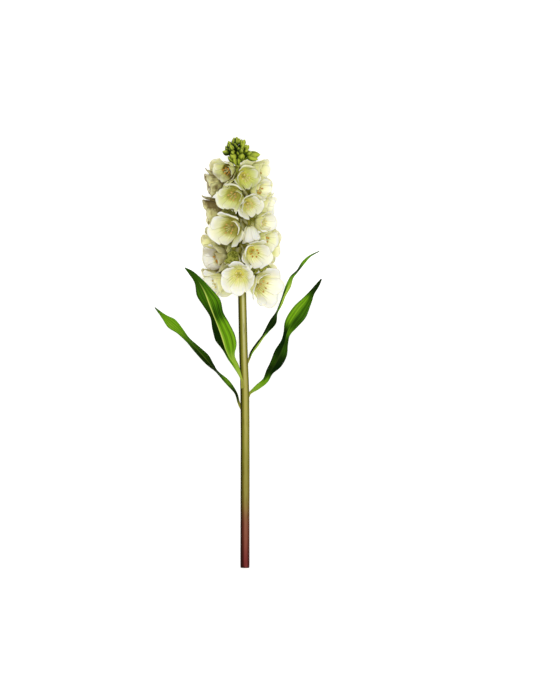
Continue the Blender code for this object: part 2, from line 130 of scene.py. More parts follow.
class Value:
    """A number that varies over a surface, carried by a node's output socket."""

    def __init__(self, graph: Graph, socket: Socket) -> None:
        """Wraps the socket of a node in the graph."""
        self.graph = graph
        self.socket = socket

    __add__ = operator("ADD")
    __radd__ = operator("ADD", reflected=True)
    __sub__ = operator("SUBTRACT")
    __rsub__ = operator("SUBTRACT", reflected=True)
    __mul__ = operator("MULTIPLY")
    __rmul__ = operator("MULTIPLY", reflected=True)
    __pow__ = operator("POWER")

    def cosine(self) -> Value:
        """The cosine of the value, in radians."""
        return self.graph.maths("COSINE", self, 0.0)

    def size(self) -> Value:
        """The value without its sign."""
        return self.graph.maths("ABSOLUTE", self, 0.0)

    def step(self, low: float, high: float) -> Value:
        """Smoothly 0 below low and 1 above high, or the other way round where high is the lower.

        Args:
            low: where the result is 0.
            high: where the result is 1.

        Returns:
            The step, from 0 to 1.
        """
        ranged = self.graph.node(
            "ShaderNodeMapRange",
            {"interpolation_type": "SMOOTHSTEP", "clamp": True},
            {"Value": self, "From Min": min(low, high), "From Max": max(low, high)},
        )
        found = Value(self.graph, ranged.outputs["Result"])
        return found if low < high else 1 - found


class Graph:
    """The node graph of one material."""

    def __init__(self, name: str) -> None:
        """Makes an empty material with a Principled shader at its output.

        Args:
            name: the material's name.
        """
        self.material = bpy.data.materials.new(name)
        self.material.use_nodes = True
        self.tree = self.material.node_tree
        self.tree.nodes.clear()
        self.shader = self.node("ShaderNodeBsdfPrincipled")
        self.node("ShaderNodeOutputMaterial", inputs={"Surface": self.shader.outputs["BSDF"]})

    def put(self, socket: Socket, value: Any) -> None:
        """Sets or links an input socket.

        Args:
            socket: the socket.
            value: a number, a colour, a value or a link.
        """
        if isinstance(value, Value):
            value = value.socket
        if isinstance(value, Socket):
            self.tree.links.new(value, socket)
        elif isinstance(value, tuple) and socket.type == "RGBA":
            socket.default_value = (*value, 1.0)
        else:
            socket.default_value = value

    def node(
        self,
        kind: str,
        settings: dict[str, Any] | None = None,
        inputs: dict[str | int, Any] | None = None,
    ) -> bpy.types.Node:
        """Adds a node.

        Args:
            kind: the node's type.
            settings: its properties, which are set first.
            inputs: a number, a colour or a link for each socket that is named or numbered.

        Returns:
            The node.
        """
        made = self.tree.nodes.new(kind)
        for name, value in (settings or {}).items():
            setattr(made, name, value)
        for key, value in (inputs or {}).items():
            self.put(made.inputs[key], value)
        return made

    def maths(self, operation: str, first: Value | float, second: Value | float) -> Value:
        """A Math node on two values."""
        made = self.node("ShaderNodeMath", {"operation": operation}, {0: first, 1: second})
        return Value(self, made.outputs[0])

    def attribute(self, name: str) -> Value:
        """A number that the mesh holds at its points."""
        made = self.node("ShaderNodeAttribute", {"attribute_type": "GEOMETRY", "attribute_name": name})
        return Value(self, made.outputs["Fac"])

    def noise(self, scale: float, detail: float = 2.0, stretch: Colour = WHITE) -> Value:
        """Cloudy noise in the object's own space.

        Args:
            scale: how many clouds there are to a metre.
            detail: how many finer layers it has.
            stretch: a factor on each axis of the space.

        Returns:
            A value from 0 to 1 that lies mostly near a half.
        """
        place = self.node("ShaderNodeTexCoord").outputs["Object"]
        scaled = self.node("ShaderNodeVectorMath", {"operation": "MULTIPLY"}, {0: place, 1: stretch})
        made = self.node(
            "ShaderNodeTexNoise",
            {"noise_dimensions": "3D"},
            {"Vector": scaled.outputs["Vector"], "Scale": scale, "Detail": detail},
        )
        return Value(self, made.outputs["Fac"])

    def coats(self, colour: Tint, *coats: tuple[Value | float, Tint]) -> Tint:
        """Colours laid over one another.

        Args:
            colour: the lowest colour.
            coats: for each further one, how much it covers, from 0 to 1, and the colour.

        Returns:
            A link to the colour on top.
        """
        settings = {"data_type": "RGBA", "clamp_factor": True}
        lower, upper = MIX_COLOURS
        for share, coat in coats:
            made = self.node("ShaderNodeMix", settings, {"Factor": share, lower: colour, upper: coat})
            colour = made.outputs[MIX_RESULT]
        return colour

    def bump(self, height: Value, distance: float, strength: float) -> None:
        """Lets a height tilt the surface's normal.

        Args:
            height: the height, in units of the distance.
            distance: the distance in metres.
            strength: how much the normal follows.
        """
        sockets = {"Height": height, "Distance": distance, "Strength": strength}
        made = self.node("ShaderNodeBump", inputs=sockets)
        self.put(self.shader.inputs["Normal"], made.outputs["Normal"])

    def dress(self, colour: Tint, roughness: Value | float, **uniform: Any) -> Material:
        """Sets the shader's sockets.

        Args:
            colour: the base colour.
            roughness: the roughness.
            uniform: what the other sockets hold, by socket, with _ for a space.

        Returns:
            The material.
        """
        for name, value in {"Base_Color": colour, "Roughness": roughness, **uniform}.items():
            self.put(self.shader.inputs[name.replace("_", " ")], value)
        return self.material


# Finishes


@dataclass(frozen=True)
class PetalSkin:
    """Thin cream petals with a green, veined throat and olive backs, a painted glow and painted shade."""

    name: str = "petal_skin"
    rim: Colour = (0.95, 0.93, 0.83)
    body: Colour = (0.86, 0.855, 0.46)
    fresh: Colour = (0.66, 0.72, 0.16)
    throat: Colour = (0.70, 0.65, 0.10)
    back: Colour = (0.80, 0.79, 0.42)
    back_base: Colour = (0.33, 0.35, 0.065)
    back_net: Colour = (0.11, 0.125, 0.010)
    vein: Colour = (0.36, 0.43, 0.03)
    edge: Colour = (0.40, 0.36, 0.14)
    # A dry brown: withering, and painted shade on the bells of the left side.
    husk_and_shade: Colour = (0.165, 0.125, 0.048)
    veins: float = 6.0
    painted_glow: float = 0.08
    clouds: float = 160.0
    patches: float = 75.0
    wander: float = 90.0
    net: float = 420.0
    grain: float = 900.0
    relief: float = 0.12 * MM

    def front(self, graph: Graph, share: Value, reach: Value) -> Tint:
        """The colour of the inner side.

        Args:
            graph: the material's graph.
            share: 0 at the petal's root and 1 at its tip.
            reach: the same with a cloudy edge.

        Returns:
            A link to the colour.
        """
        dark_throat_and_shade = graph.attribute("dark_throat_and_shade")
        return graph.coats(
            self.body,
            (reach.step(0.20, 0.60), self.rim),
            (graph.attribute("green") * share.step(1.15, 0.55), self.fresh),
            # The throat's own yellow green, and at its bottom a dark that is partly its own colour and
            # partly painted shade in the cup.
            (reach.step(0.60, 0.12) * (0.3 + 0.7 * dark_throat_and_shade), self.throat),
            (reach.step(0.50, 0.18) * dark_throat_and_shade, THROAT_DARK_AND_SHADE),
        )

    def behind(self, graph: Graph, share: Value, reach: Value) -> Tint:
        """The colour of the outer side.

        Args:
            graph: the material's graph.
            share: 0 at the petal's root and 1 at its tip.
            reach: the same with a cloudy edge.

        Returns:
            A link to the colour.
        """
        low = reach + 0.6 - 2.15 * graph.attribute("young")
        return graph.coats(
            self.back_net,
            (graph.noise(self.net).step(0.40, 0.58), self.back_base),
            (low.step(0.10, 0.50), self.back),
            (low.step(0.60, 1.0) * 0.8, self.rim),
            (graph.attribute("green") * share.step(1.1, 0.7) * 0.6, self.fresh),
        )

    def material(self) -> Material:
        """Builds the material.

        Returns:
            The material.
        """
        graph = Graph(self.name)
        share = graph.attribute("share")
        across = graph.attribute("across")
        inside = graph.attribute("inside")
        cloud = graph.noise(self.clouds, 3.0)
        reach = share + 0.22 * (cloud - 0.5) - 0.10 * across.size()
        wander = 0.5 * (graph.noise(self.wander, 1.0) - 0.5)
        lines = (0.5 + 0.5 * ((across * self.veins + wander) * math.pi).cosine()) ** 5.0
        midrib = across.size().step(0.12, 0.0)
        drawn = (0.48 * lines + 0.5 * midrib) * share.step(0.72, 0.35) * share.step(0.02, 0.20)
        front = graph.coats(self.front(graph, share, reach), (drawn * (0.35 + 0.7 * cloud), self.vein))
        behind = graph.coats(self.behind(graph, share, reach), (drawn * 0.3, self.back_net))
        brink = (across.size().step(0.91, 1.0) + share.step(0.965, 1.0)) * share.step(0.3, 0.7)
        patches = graph.noise(self.patches, 4.0).step(0.40, 0.62)
        # Where the brown shows: in patches, towards the root and at the edges. Its amount is partly
        # withering and partly painted shade on the bells of the left side, away from the light.
        withered_and_shaded = 0.25 + 0.75 * patches + 0.6 * share.step(0.5, 0.1) + 0.4 * brink
        brown = graph.attribute("brown") * withered_and_shaded
        colour = graph.coats(behind, (inside, front), (brink * 0.55, self.edge), (brown, self.husk_and_shade))
        graph.bump(0.6 * lines + 0.5 * graph.noise(self.grain), self.relief, 0.6)
        return graph.dress(
            colour,
            0.42 + 0.2 * cloud,
            # A painted glow: the petals give off a little of their own colour, more on their inner side,
            # standing for light let through them.
            Emission_Color=graph.coats(BLACK, (0.5 + 0.5 * inside, colour)),
            Emission_Strength=self.painted_glow,
            Subsurface_Weight=0.6,
            Subsurface_Radius=(1.0, 0.88, 0.40),
            Subsurface_Scale=2.0 * MM,
            Specular_IOR_Level=0.10,
        )


@dataclass(frozen=True)
class SeatSkin:
    """The small green cup under the petals, with a yellow floor."""

    name: str = "seat_skin"
    light: Colour = (0.30, 0.30, 0.06)
    dark: Colour = (0.15, 0.16, 0.015)
    floor: Colour = (0.62, 0.56, 0.09)
    clouds: float = 300.0
    grain: float = 1200.0
    relief: float = 0.1 * MM

    def material(self) -> Material:
        """Builds the material.

        Returns:
            The material.
        """
        graph = Graph(self.name)
        cloud = graph.noise(self.clouds, 3.0)
        # The floor takes the throat's dark, partly its own colour and partly painted shade in the cup.
        floor = graph.coats(self.floor, (graph.attribute("dark_throat_and_shade") * 0.9, THROAT_DARK_AND_SHADE))
        on_floor = graph.attribute("share").step(0.2, 0.8)
        colour = graph.coats(self.dark, (cloud.step(0.3, 0.7), self.light), (on_floor, floor))
        graph.bump(graph.noise(self.grain), self.relief, 0.4)
        return graph.dress(colour, 0.45 + 0.15 * cloud, Subsurface_Weight=0.1, Subsurface_Scale=1.0 * MM)


@dataclass(frozen=True)
class FilamentSkin:
    """Pale green threads that carry the anthers."""

    name: str = "filament_skin"
    root: Colour = (0.46, 0.41, 0.06)
    tip: Colour = (0.80, 0.74, 0.36)
    clouds: float = 700.0

    def material(self) -> Material:
        """Builds the material.

        Returns:
            The material.
        """
        graph = Graph(self.name)
        cloud = graph.noise(self.clouds)
        reach = graph.attribute("share") + 0.2 * (cloud - 0.5)
        # The roots take the throat's dark, partly their own colour and partly painted shade in the cup.
        dark_throat_and_shade = graph.attribute("dark_throat_and_shade") * 0.9
        colour = graph.coats(self.root, (dark_throat_and_shade, THROAT_DARK_AND_SHADE), (reach.step(0.1, 0.8), self.tip))
        return graph.dress(colour, 0.4 + 0.1 * cloud, Subsurface_Weight=0.2, Subsurface_Scale=0.6 * MM)


@dataclass(frozen=True)
class PollenSkin:
    """Orange anthers that are rough with pollen."""

    name: str = "pollen_skin"
    pale: Colour = (0.84, 0.76, 0.34)
    light: Colour = (0.74, 0.37, 0.05)
    dark: Colour = (0.32, 0.11, 0.012)
    clouds: float = 500.0
    grain: float = 2600.0
    relief: float = 0.25 * MM

    def material(self) -> Material:
        """Builds the material.

        Returns:
            The material.
        """
        graph = Graph(self.name)
        grain = graph.noise(self.grain, 3.0)
        worn = (grain * 0.5 + graph.noise(self.clouds) * 0.5).step(0.35, 0.62)
        orange = graph.coats(self.dark, (worn, self.light))
        graph.bump(grain, self.relief, 0.8)
        return graph.dress(graph.coats(self.pale, (graph.attribute("ripe"), orange)), 0.75 + 0.2 * grain)


@dataclass(frozen=True)
class BudSkin:
    """Firm green buds, dark at their roots and bright at their tips, with painted shade and light."""

    name: str = "bud_skin"
    tip: Colour = (0.46, 0.54, 0.055)
    body: Colour = (0.10, 0.155, 0.005)
    root: Colour = (0.012, 0.022, 0.002)
    groove: Colour = (0.015, 0.028, 0.002)
    clouds: float = 260.0
    grain: float = 1100.0
    relief: float = 0.15 * MM

    def material(self) -> Material:
        """Builds the material.

        Returns:
            The material.
        """
        graph = Graph(self.name)
        cloud = graph.noise(self.clouds, 3.0)
        tone_and_painted_light = graph.attribute("tone_and_painted_light")
        reach = graph.attribute("share") + 0.35 * (cloud - 0.5) + 0.75 * (tone_and_painted_light - 0.5)
        # The dark root colour is partly the buds' own and partly painted shade where they crowd, the
        # furrow colour is painted shade in the furrows, and the brightness that the points hold adds
        # painted light.
        colour = graph.coats(
            self.root,
            (reach.step(0.18, 0.60), self.body),
            (reach.step(0.50, 1.05), self.tip),
            (graph.attribute("groove") * 0.7, self.groove),
        )
        graph.bump(graph.noise(self.grain), self.relief, 0.5)
        return graph.dress(
            colour,
            0.34 + 0.2 * cloud,
            Specular_IOR_Level=0.12,
            Subsurface_Weight=0.1,
            Subsurface_Radius=(0.7, 1.0, 0.3),
            Subsurface_Scale=1.0 * MM,
        )


@dataclass(frozen=True)
class LeafSkin:
    """Glossy leaves with close parallel veins, a pale midrib and painted light and shade."""

    name: str = "leaf_skin"
    # Greens for painted light and shade, from the pale painted highlight down to the darkest shade; the
    # darkest also draws the vein bands and the edges.
    pale: Colour = (0.42, 0.60, 0.07)
    bright: Colour = (0.19, 0.46, 0.010)
    middle: Colour = (0.035, 0.145, 0.003)
    dark: Colour = (0.002, 0.014, 0.001)
    midrib: Colour = (0.56, 0.68, 0.12)
    vein: Colour = (0.24, 0.42, 0.02)
    foot: Colour = (0.36, 0.34, 0.055)
    veins: float = 13.0
    bands: float = 5.3
    clouds: float = 45.0
    wander: float = 30.0
    gloss: float = 120.0
    grain: float = 1500.0
    relief: float = 0.12 * MM

    def material(self) -> Material:
        """Builds the material.

        Returns:
            The material.
        """
        graph = Graph(self.name)
        share = graph.attribute("share")
        across = graph.attribute("across")
        tone_and_painted_light = graph.attribute("tone_and_painted_light") + 0.22 * (graph.noise(self.clouds, 3.0) - 0.5)
        lines = (0.5 + 0.5 * (across * (self.veins * math.pi)).cosine()) ** 3.0
        wander = 3.0 * graph.noise(self.wander, 1.0)
        bands = 0.5 + 0.5 * (across * (self.bands * math.pi) + wander).cosine()
        rib = across.size().step(0.11, 0.03) * share.step(0.84, 0.66) * graph.attribute("rib")
        # The brightness that the points hold lays painted light and shade: dark, middle and bright greens,
        # veins that show more where it is bright, and pale painted highlights where it is brightest.
        colour = graph.coats(
            self.dark,
            (tone_and_painted_light.step(0.0, 0.5), self.middle),
            (tone_and_painted_light.step(0.35, 0.90), self.bright),
            (bands * 0.6, self.dark),
            (lines * (0.06 + 0.48 * tone_and_painted_light), self.vein),
            (tone_and_painted_light.step(0.95, 1.5), self.pale),
            (rib, self.midrib),
            (across.size().step(0.88, 1.0) * 0.65, self.dark),
            (share.step(0.05, -0.03) * 0.9, self.foot),
        )
        graph.bump(0.6 * lines + 0.3 * graph.noise(self.grain), self.relief, 0.6)
        return graph.dress(
            colour,
            0.36 + 0.16 * graph.noise(self.gloss),
            Specular_IOR_Level=0.01,
            Subsurface_Weight=0.06,
            Subsurface_Radius=(0.4, 1.0, 0.2),
            Subsurface_Scale=0.8 * MM,
        )


@dataclass(frozen=True)
class StemSkin:
    """An olive stem, red brown towards its cut end, with a painted highlight stripe and painted shade."""

    name: str = "stem_skin"
    olive: Colour = (0.20, 0.185, 0.016)
    # A painted highlight colour, for the stripe along the olive part.
    pale: Colour = (0.47, 0.43, 0.11)
    brown: Colour = (0.17, 0.115, 0.018)
    # A brighter painted highlight colour, near the top.
    crest_highlight: Colour = (0.66, 0.65, 0.36)
    red: Colour = (0.115, 0.026, 0.013)
    # A painted highlight colour, for the stripe along the red part.
    red_highlight: Colour = (0.32, 0.120, 0.072)
    deep_red: Colour = (0.055, 0.007, 0.006)
    # A painted highlight colour, for the stripe along the lowest part.
    wine_highlight: Colour = (0.23, 0.030, 0.032)
    # The dark of the red part: its streaks, and painted shade along its edges.
    umber: Colour = (0.022, 0.006, 0.003)
    # Dark streaks and the rim of the cut end, and painted shade along the edges and high up among the
    # bells.
    dark: Colour = (0.030, 0.028, 0.002)
    fresh: Colour = (0.40, 0.45, 0.06)
    streaks: float = 520.0
    streak_stretch: Colour = (1.0, 0.03, 1.0)
    clouds: float = 70.0
    cloud_stretch: Colour = (1.0, 0.4, 1.0)
    grain: float = 1400.0
    relief: float = 0.15 * MM

    def material(self) -> Material:
        """Builds the material.

        Returns:
            The material.
        """
        graph = Graph(self.name)
        side = graph.attribute("side")
        streak = graph.noise(self.streaks, 3.0, self.streak_stretch)
        cloud = graph.noise(self.clouds, 3.0, self.cloud_stretch)
        height = graph.attribute("along") + 0.015 * (cloud - 0.5)
        # Painted highlight: a pale stripe a little right of the middle.
        highlight_band = side.step(-0.40, 0.05) * side.step(0.85, 0.30) * (0.7 + 0.6 * streak)
        # A brighter painted highlight on the stripe, near the top.
        crest_highlight = side.step(-0.15, 0.15) * side.step(0.55, 0.25) * height.step(0.42, 0.64)
        green = graph.coats(
            self.olive,
            (height.step(0.33, 0.17) * 0.7, self.brown),
            (highlight_band * (0.55 + 0.45 * height.step(0.26, 0.38)), self.pale),
            (crest_highlight * 0.85, self.crest_highlight),
        )
        # Painted highlight on the red part as well, along its stripe.
        deep_red = graph.coats(self.deep_red, (highlight_band * 0.9, self.wine_highlight))
        lowest = height.step(0.10, 0.01) * 0.85
        red = graph.coats(self.red, (highlight_band * 0.8, self.red_highlight), (lowest, deep_red))
        low = height.step(0.195, 0.10)
        dark = graph.coats(self.dark, (low, self.umber))
        colour = graph.coats(
            green,
            (low, red),
            (streak.step(0.46, 0.25) * 0.4, dark),
            # Painted shade along the left edge, and less of it along the right edge.
            (side.step(-0.42, -0.76), dark),
            (side.step(0.72, 1.0) * 0.6, dark),
            (height.step(0.006, 0.0) * 0.8, dark),
            # Painted shade high up among the bells.
            (height.step(0.66, 0.75) * 0.45, self.dark),
            (height.step(0.91, 0.95) * 0.9, self.fresh),
        )
        graph.bump(0.7 * streak + 0.3 * graph.noise(self.grain), self.relief, 0.5)
        return graph.dress(
            colour,
            0.36 + 0.2 * cloud,
            Specular_IOR_Level=0.03,
            Subsurface_Weight=0.05,
            Subsurface_Scale=1.0 * MM,
        )


@dataclass(frozen=True)
class CutSkin:
    """The pale, wet flesh of the stem's cut end."""

    name: str = "cut_skin"
    flesh: Colour = (0.55, 0.52, 0.26)
    ring: Colour = (0.24, 0.17, 0.06)
    pores: float = 1600.0
    relief: float = 0.2 * MM

    def material(self) -> Material:
        """Builds the material.

        Returns:
            The material.
        """
        graph = Graph(self.name)
        pores = graph.noise(self.pores)
        graph.bump(pores, self.relief, 0.6)
        return graph.dress(graph.coats(self.flesh, (pores.step(0.5, 0.65), self.ring)), 0.4 + 0.2 * pores)


@dataclass(frozen=True)
class PaperSkin:
    """The pale paper that the spike lies on."""

    name: str = "paper_skin"
    light: Colour = (0.95, 0.95, 0.945)
    shade: Colour = (0.92, 0.92, 0.915)
    fibres: float = 60.0
    glow: float = 0.5

    def material(self) -> Material:
        """Builds the material.

        Returns:
            The material.
        """
        graph = Graph(self.name)
        fibres = graph.noise(self.fibres, 4.0)
        return graph.dress(
            graph.coats(self.shade, (fibres, self.light)),
            0.85 + 0.1 * fibres,
            Emission_Color=WHITE,
            Emission_Strength=self.glow,
            Specular_IOR_Level=0.2,
        )


# Meshes


@dataclass(frozen=True)
class Curve:
    """A smooth curve through rows of numbers, each row led by its place on the curve."""

    rows: tuple[tuple[float, ...], ...]

    def at(self, place: Array | float) -> Array:
        """Reads the curve.

        Args:
            place: one or more places on it.

        Returns:
            The other columns at each place, along a new last axis.
        """
        table = np.array(self.rows, dtype=float)
        keys = table[:, 0]
        last = len(keys) - 1
        order = np.arange(last + 1)
        low, high = np.maximum(order - 1, 0), np.minimum(order + 1, last)
        slopes = (table[high] - table[low]) / (keys[high] - keys[low])[:, None]
        place = np.clip(np.asarray(place, dtype=float), keys[0], keys[-1])
        k = np.clip(np.searchsorted(keys, place, side="left") - 1, 0, last - 1)
        step = (keys[k + 1] - keys[k])[..., None]
        t = (place - keys[k])[..., None] / step
        found = (
            (2 * t**3 - 3 * t**2 + 1) * table[k]
            + (t**3 - 2 * t**2 + t) * slopes[k] * step
            + (3 * t**2 - 2 * t**3) * table[k + 1]
            + (t**3 - t**2) * slopes[k + 1] * step
        )
        return found[..., 1:]


def unit(vectors: Array) -> Array:
    """The vectors, each scaled to a length of 1."""
    return vectors / np.maximum(np.linalg.norm(vectors, axis=-1, keepdims=True), LEAST_LENGTH)


def grid_normals(points: Array) -> Array:
    """The normals of a grid of points, from its rows and columns."""
    return unit(np.cross(np.gradient(points, axis=1), np.gradient(points, axis=0)))


def corners(grid: Array) -> Array:
    """The four corners of every cell of a grid, in order round the cell."""
    return np.stack((grid[:-1, :-1], grid[:-1, 1:], grid[1:, 1:], grid[1:, :-1]), axis=2)


def on_grid(value: Array | float, shape: tuple[int, ...]) -> Array:
    """A number for each point of a grid, from one for all, one for each row or one for each point."""
    value = np.asarray(value, dtype=float)
    return np.broadcast_to(value[:, None] if value.ndim == 1 else value, shape)


def circle(count: int) -> Array:
    """Equal turns round a circle, in radians."""
    return 2 * math.pi * np.arange(count) / count


def bend(start: Array, middle: Array, end: Array, steps: int) -> Array:
    """Points along a curve from the start to the end, which leaves and arrives in line with the middle."""
    t = np.linspace(0, 1, steps)[:, None]
    return (1 - t) ** 2 * start + 2 * t * (1 - t) * middle + t**2 * end


def blade(rows: int, columns: int, foot: float = 0.0) -> tuple[Array, Array]:
    """The share, from its foot to 1, and the across value, from -1 to 1, at each point of a blade."""
    share, across = np.linspace(foot, 1, rows), np.linspace(-1, 1, columns)
    return tuple(np.meshgrid(share, across, indexing="ij"))


def rings_along(centres: Array, radii: Array, sides: int, start_side: Array | None = None) -> Array:
    """Rings of points round a line.

    Args:
        centres: the line's points.
        radii: the radius at each, or at each point of each ring.
        sides: how many points a ring has.
        start_side: a direction that the first point of the first ring lies in.

    Returns:
        The rings, which turn with the line and don't twist about it.
    """
    directions = unit(np.gradient(centres, axis=0))
    side = np.array(Vector(directions[0]).orthogonal() if start_side is None else start_side)
    turns = circle(sides)[:, None]
    rings = []
    for centre, direction, radius in zip(centres, directions, on_grid(radii, (len(centres), sides))):
        side = unit(side - direction * side.dot(direction))
        out = np.cos(turns) * side + np.sin(turns) * np.cross(direction, side)
        rings.append(centre + radius[:, None] * out)
    return np.array(rings)


@dataclass(frozen=True)
class Cell:
    """A rectangle of a piece's texture map."""

    left: float = 0.0
    low: float = 0.0
    wide: float = 1.0
    high: float = 1.0

    def part(self, left: float, low: float, wide: float, high: float) -> Cell:
        """A rectangle inside this one, in shares of it."""
        return Cell(*self.spot(left, low), wide * self.wide, high * self.high)

    def spot(self, u: Array | float, v: Array | float) -> tuple[Any, Any]:
        """A point of the rectangle, or more of them, from shares of its width and height."""
        return self.left + u * self.wide, self.low + v * self.high


def cells(count: int) -> list[Cell]:
    """Equal cells of the unit square with a little room between them.

    Args:
        count: how many are needed.

    Returns:
        The cells, row by row.
    """
    side = math.ceil(math.sqrt(count))
    gap = CELL_GAP / side
    size = 1 / side - gap
    return [Cell(k % side / side + gap / 2, k // side / side + gap / 2, size, size) for k in range(count)]


@dataclass
class MeshMaker:
    """Gathers the points, faces and numbers of one piece's mesh."""

    points: list[Array] = field(default_factory=list)
    faces: list[list[int]] = field(default_factory=list)
    spots: list[list[float]] = field(default_factory=list)
    finishes: list[int] = field(default_factory=list)
    numbers: dict[str, list[Array]] = field(default_factory=dict)
    count: int = 0

    def add_points(self, points: Array, numbers: Numbers) -> Array:
        """Adds a grid of points.

        Args:
            points: their places.
            numbers: what the points hold, by attribute name, as on_grid takes it.

        Returns:
            The number of each point.
        """
        shape = points.shape[:-1]
        index = self.count + np.arange(math.prod(shape)).reshape(shape)
        self.count += index.size
        self.points.append(points.reshape(-1, 3))
        for name, value in numbers.items():
            self.numbers.setdefault(name, []).append(on_grid(value, shape).reshape(-1))
        return index

    def add_faces(self, faces: Array, spots: Array, finish: int) -> None:
        """Adds faces.

        Args:
            faces: the numbers of each one's points.
            spots: the places of those points on the texture map.
            finish: the number of their material.
        """
        self.faces += faces.tolist()
        self.spots += spots.reshape(-1, 2).tolist()
        self.finishes += [finish] * len(faces)

    def skin(self, index: Array, cell: Cell, finish: int = 0) -> None:
        """Adds the faces of a grid.

        Args:
            index: the numbers of the grid's points.
            cell: its place on the texture map.
            finish: the number of its material.
        """
        rows, columns = index.shape
        u, v = np.meshgrid(np.linspace(0, 1, columns), np.linspace(0, 1, rows))
        spots = corners(np.stack(cell.spot(u, v), axis=-1))
        self.add_faces(corners(index).reshape(-1, 4), spots, finish)

    def sheet(self, middle: Array, thickness: Array | float, numbers: Numbers, cell: Cell) -> None:
        """Adds a thin closed sheet.

        Args:
            middle: a grid of points halfway through it.
            thickness: its thickness at each point.
            numbers: what its points hold. The attribute inside is added: 1 on the side of its normals.
            cell: its place on the texture map.
        """
        half = grid_normals(middle) * (np.asarray(thickness)[..., None] / 2)
        top = self.add_points(middle + half, {**numbers, "inside": 1.0})
        low = self.add_points(middle - half, {**numbers, "inside": 0.0})
        self.skin(top, cell.part(*FRONT))
        self.skin(low[:, ::-1], cell.part(*BEHIND))
        rims = [(side[0], side[1:, -1], side[-1, -2::-1], side[-2::-1, 0]) for side in (low, top)]
        self.skin(np.array([np.concatenate(rim) for rim in rims]), cell.part(*RIM))

    def tube(
        self,
        rings: Array,
        ends: tuple[Array, Array],
        numbers: Numbers,
        cell: Cell,
        finish: int = 0,
        first_finish: int | None = None,
    ) -> None:
        """Adds a closed round solid.

        Args:
            rings: its rings of points, each turning the same way about the line to the next.
            ends: the middle of its first and last end.
            numbers: what its points hold.
            cell: its place on the texture map.
            finish: the number of its material.
            first_finish: the number of its first end's material, where it differs.
        """
        index = self.add_points(rings, numbers)
        index = np.concatenate((index, index[:, :1]), axis=1)
        self.skin(index, cell.part(*WALL), finish)
        first_finish = finish if first_finish is None else first_finish
        ways = ((0, -1, FIRST_END, first_finish), (-1, 1, LAST_END, finish))
        for middle, (row, way, disc, end_finish) in zip(ends, ways):
            held = {name: on_grid(value, rings.shape[:2])[row, 0] for name, value in numbers.items()}
            self.close(index[row, ::way], middle, held, cell.part(*disc), end_finish)

    def close(self, edge: Array, middle: Array, numbers: Numbers, disc: Cell, finish: int) -> None:
        """Closes an end with triangles round its middle.

        Args:
            edge: the numbers of the points round it, the first one again at the end.
            middle: its middle.
            numbers: what the middle holds.
            disc: its place on the texture map.
            finish: the number of its material.
        """
        hub = np.full_like(edge[1:], self.add_points(np.reshape(middle, (1, 1, 3)), numbers)[0, 0])
        turns = np.linspace(0, 2 * math.pi, len(edge))
        rim = np.stack(disc.spot(0.5 + 0.5 * np.cos(turns), 0.5 + 0.5 * np.sin(turns)), axis=-1)
        spots = (rim[:-1], rim[1:], np.broadcast_to(disc.spot(0.5, 0.5), rim[1:].shape))
        self.add_faces(np.stack((edge[:-1], edge[1:], hub), axis=-1), np.stack(spots, axis=1), finish)

    def rod(self, centres: Array, radii: Array, sides: int, numbers: Numbers, cell: Cell) -> None:
        """Adds a tube round a line from its first point to its last."""
        self.tube(rings_along(centres, radii, sides), (centres[0], centres[-1]), numbers, cell)

    def build(self, name: str, materials: tuple[Material, ...]) -> Piece:
        """Makes the piece.

        Args:
            name: its name.
            materials: its materials, in the order of their numbers.

        Returns:
            The linked object, at the origin.
        """
        mesh = bpy.data.meshes.new(name)
        mesh.from_pydata(np.concatenate(self.points).tolist(), [], self.faces)
        for attribute, parts in self.numbers.items():
            layer = mesh.attributes.new(attribute, "FLOAT", "POINT")
            layer.data.foreach_set("value", np.concatenate(parts).astype(np.float32))
        layer = mesh.uv_layers.new(name="OFBake")
        layer.uv.foreach_set("vector", np.array(self.spots, dtype=np.float32).reshape(-1))
        for material in materials:
            mesh.materials.append(material)
        mesh.polygons.foreach_set("material_index", np.array(self.finishes, dtype=np.int32))
        mesh.shade_smooth()
        mesh.set_sharp_from_angle(angle=math.radians(SHARP_ANGLE))
        mesh.validate()
        made = bpy.data.objects.new(name, mesh)
        bpy.context.scene.collection.objects.link(made)
        return made


@dataclass
class Part:
    """A sub-assembly that becomes one piece."""

    maker: MeshMaker = field(default_factory=MeshMaker, kw_only=True)

    def shape(self) -> None:
        """Adds the points and faces, each kind of part in its own way."""
        raise NotImplementedError

    def make(self, name: str, *materials: Material) -> Piece:
        """Builds the piece of that name, with its materials in the order of their numbers."""
        self.shape()
        return self.maker.build(name, materials)


# The object's own sub-assemblies


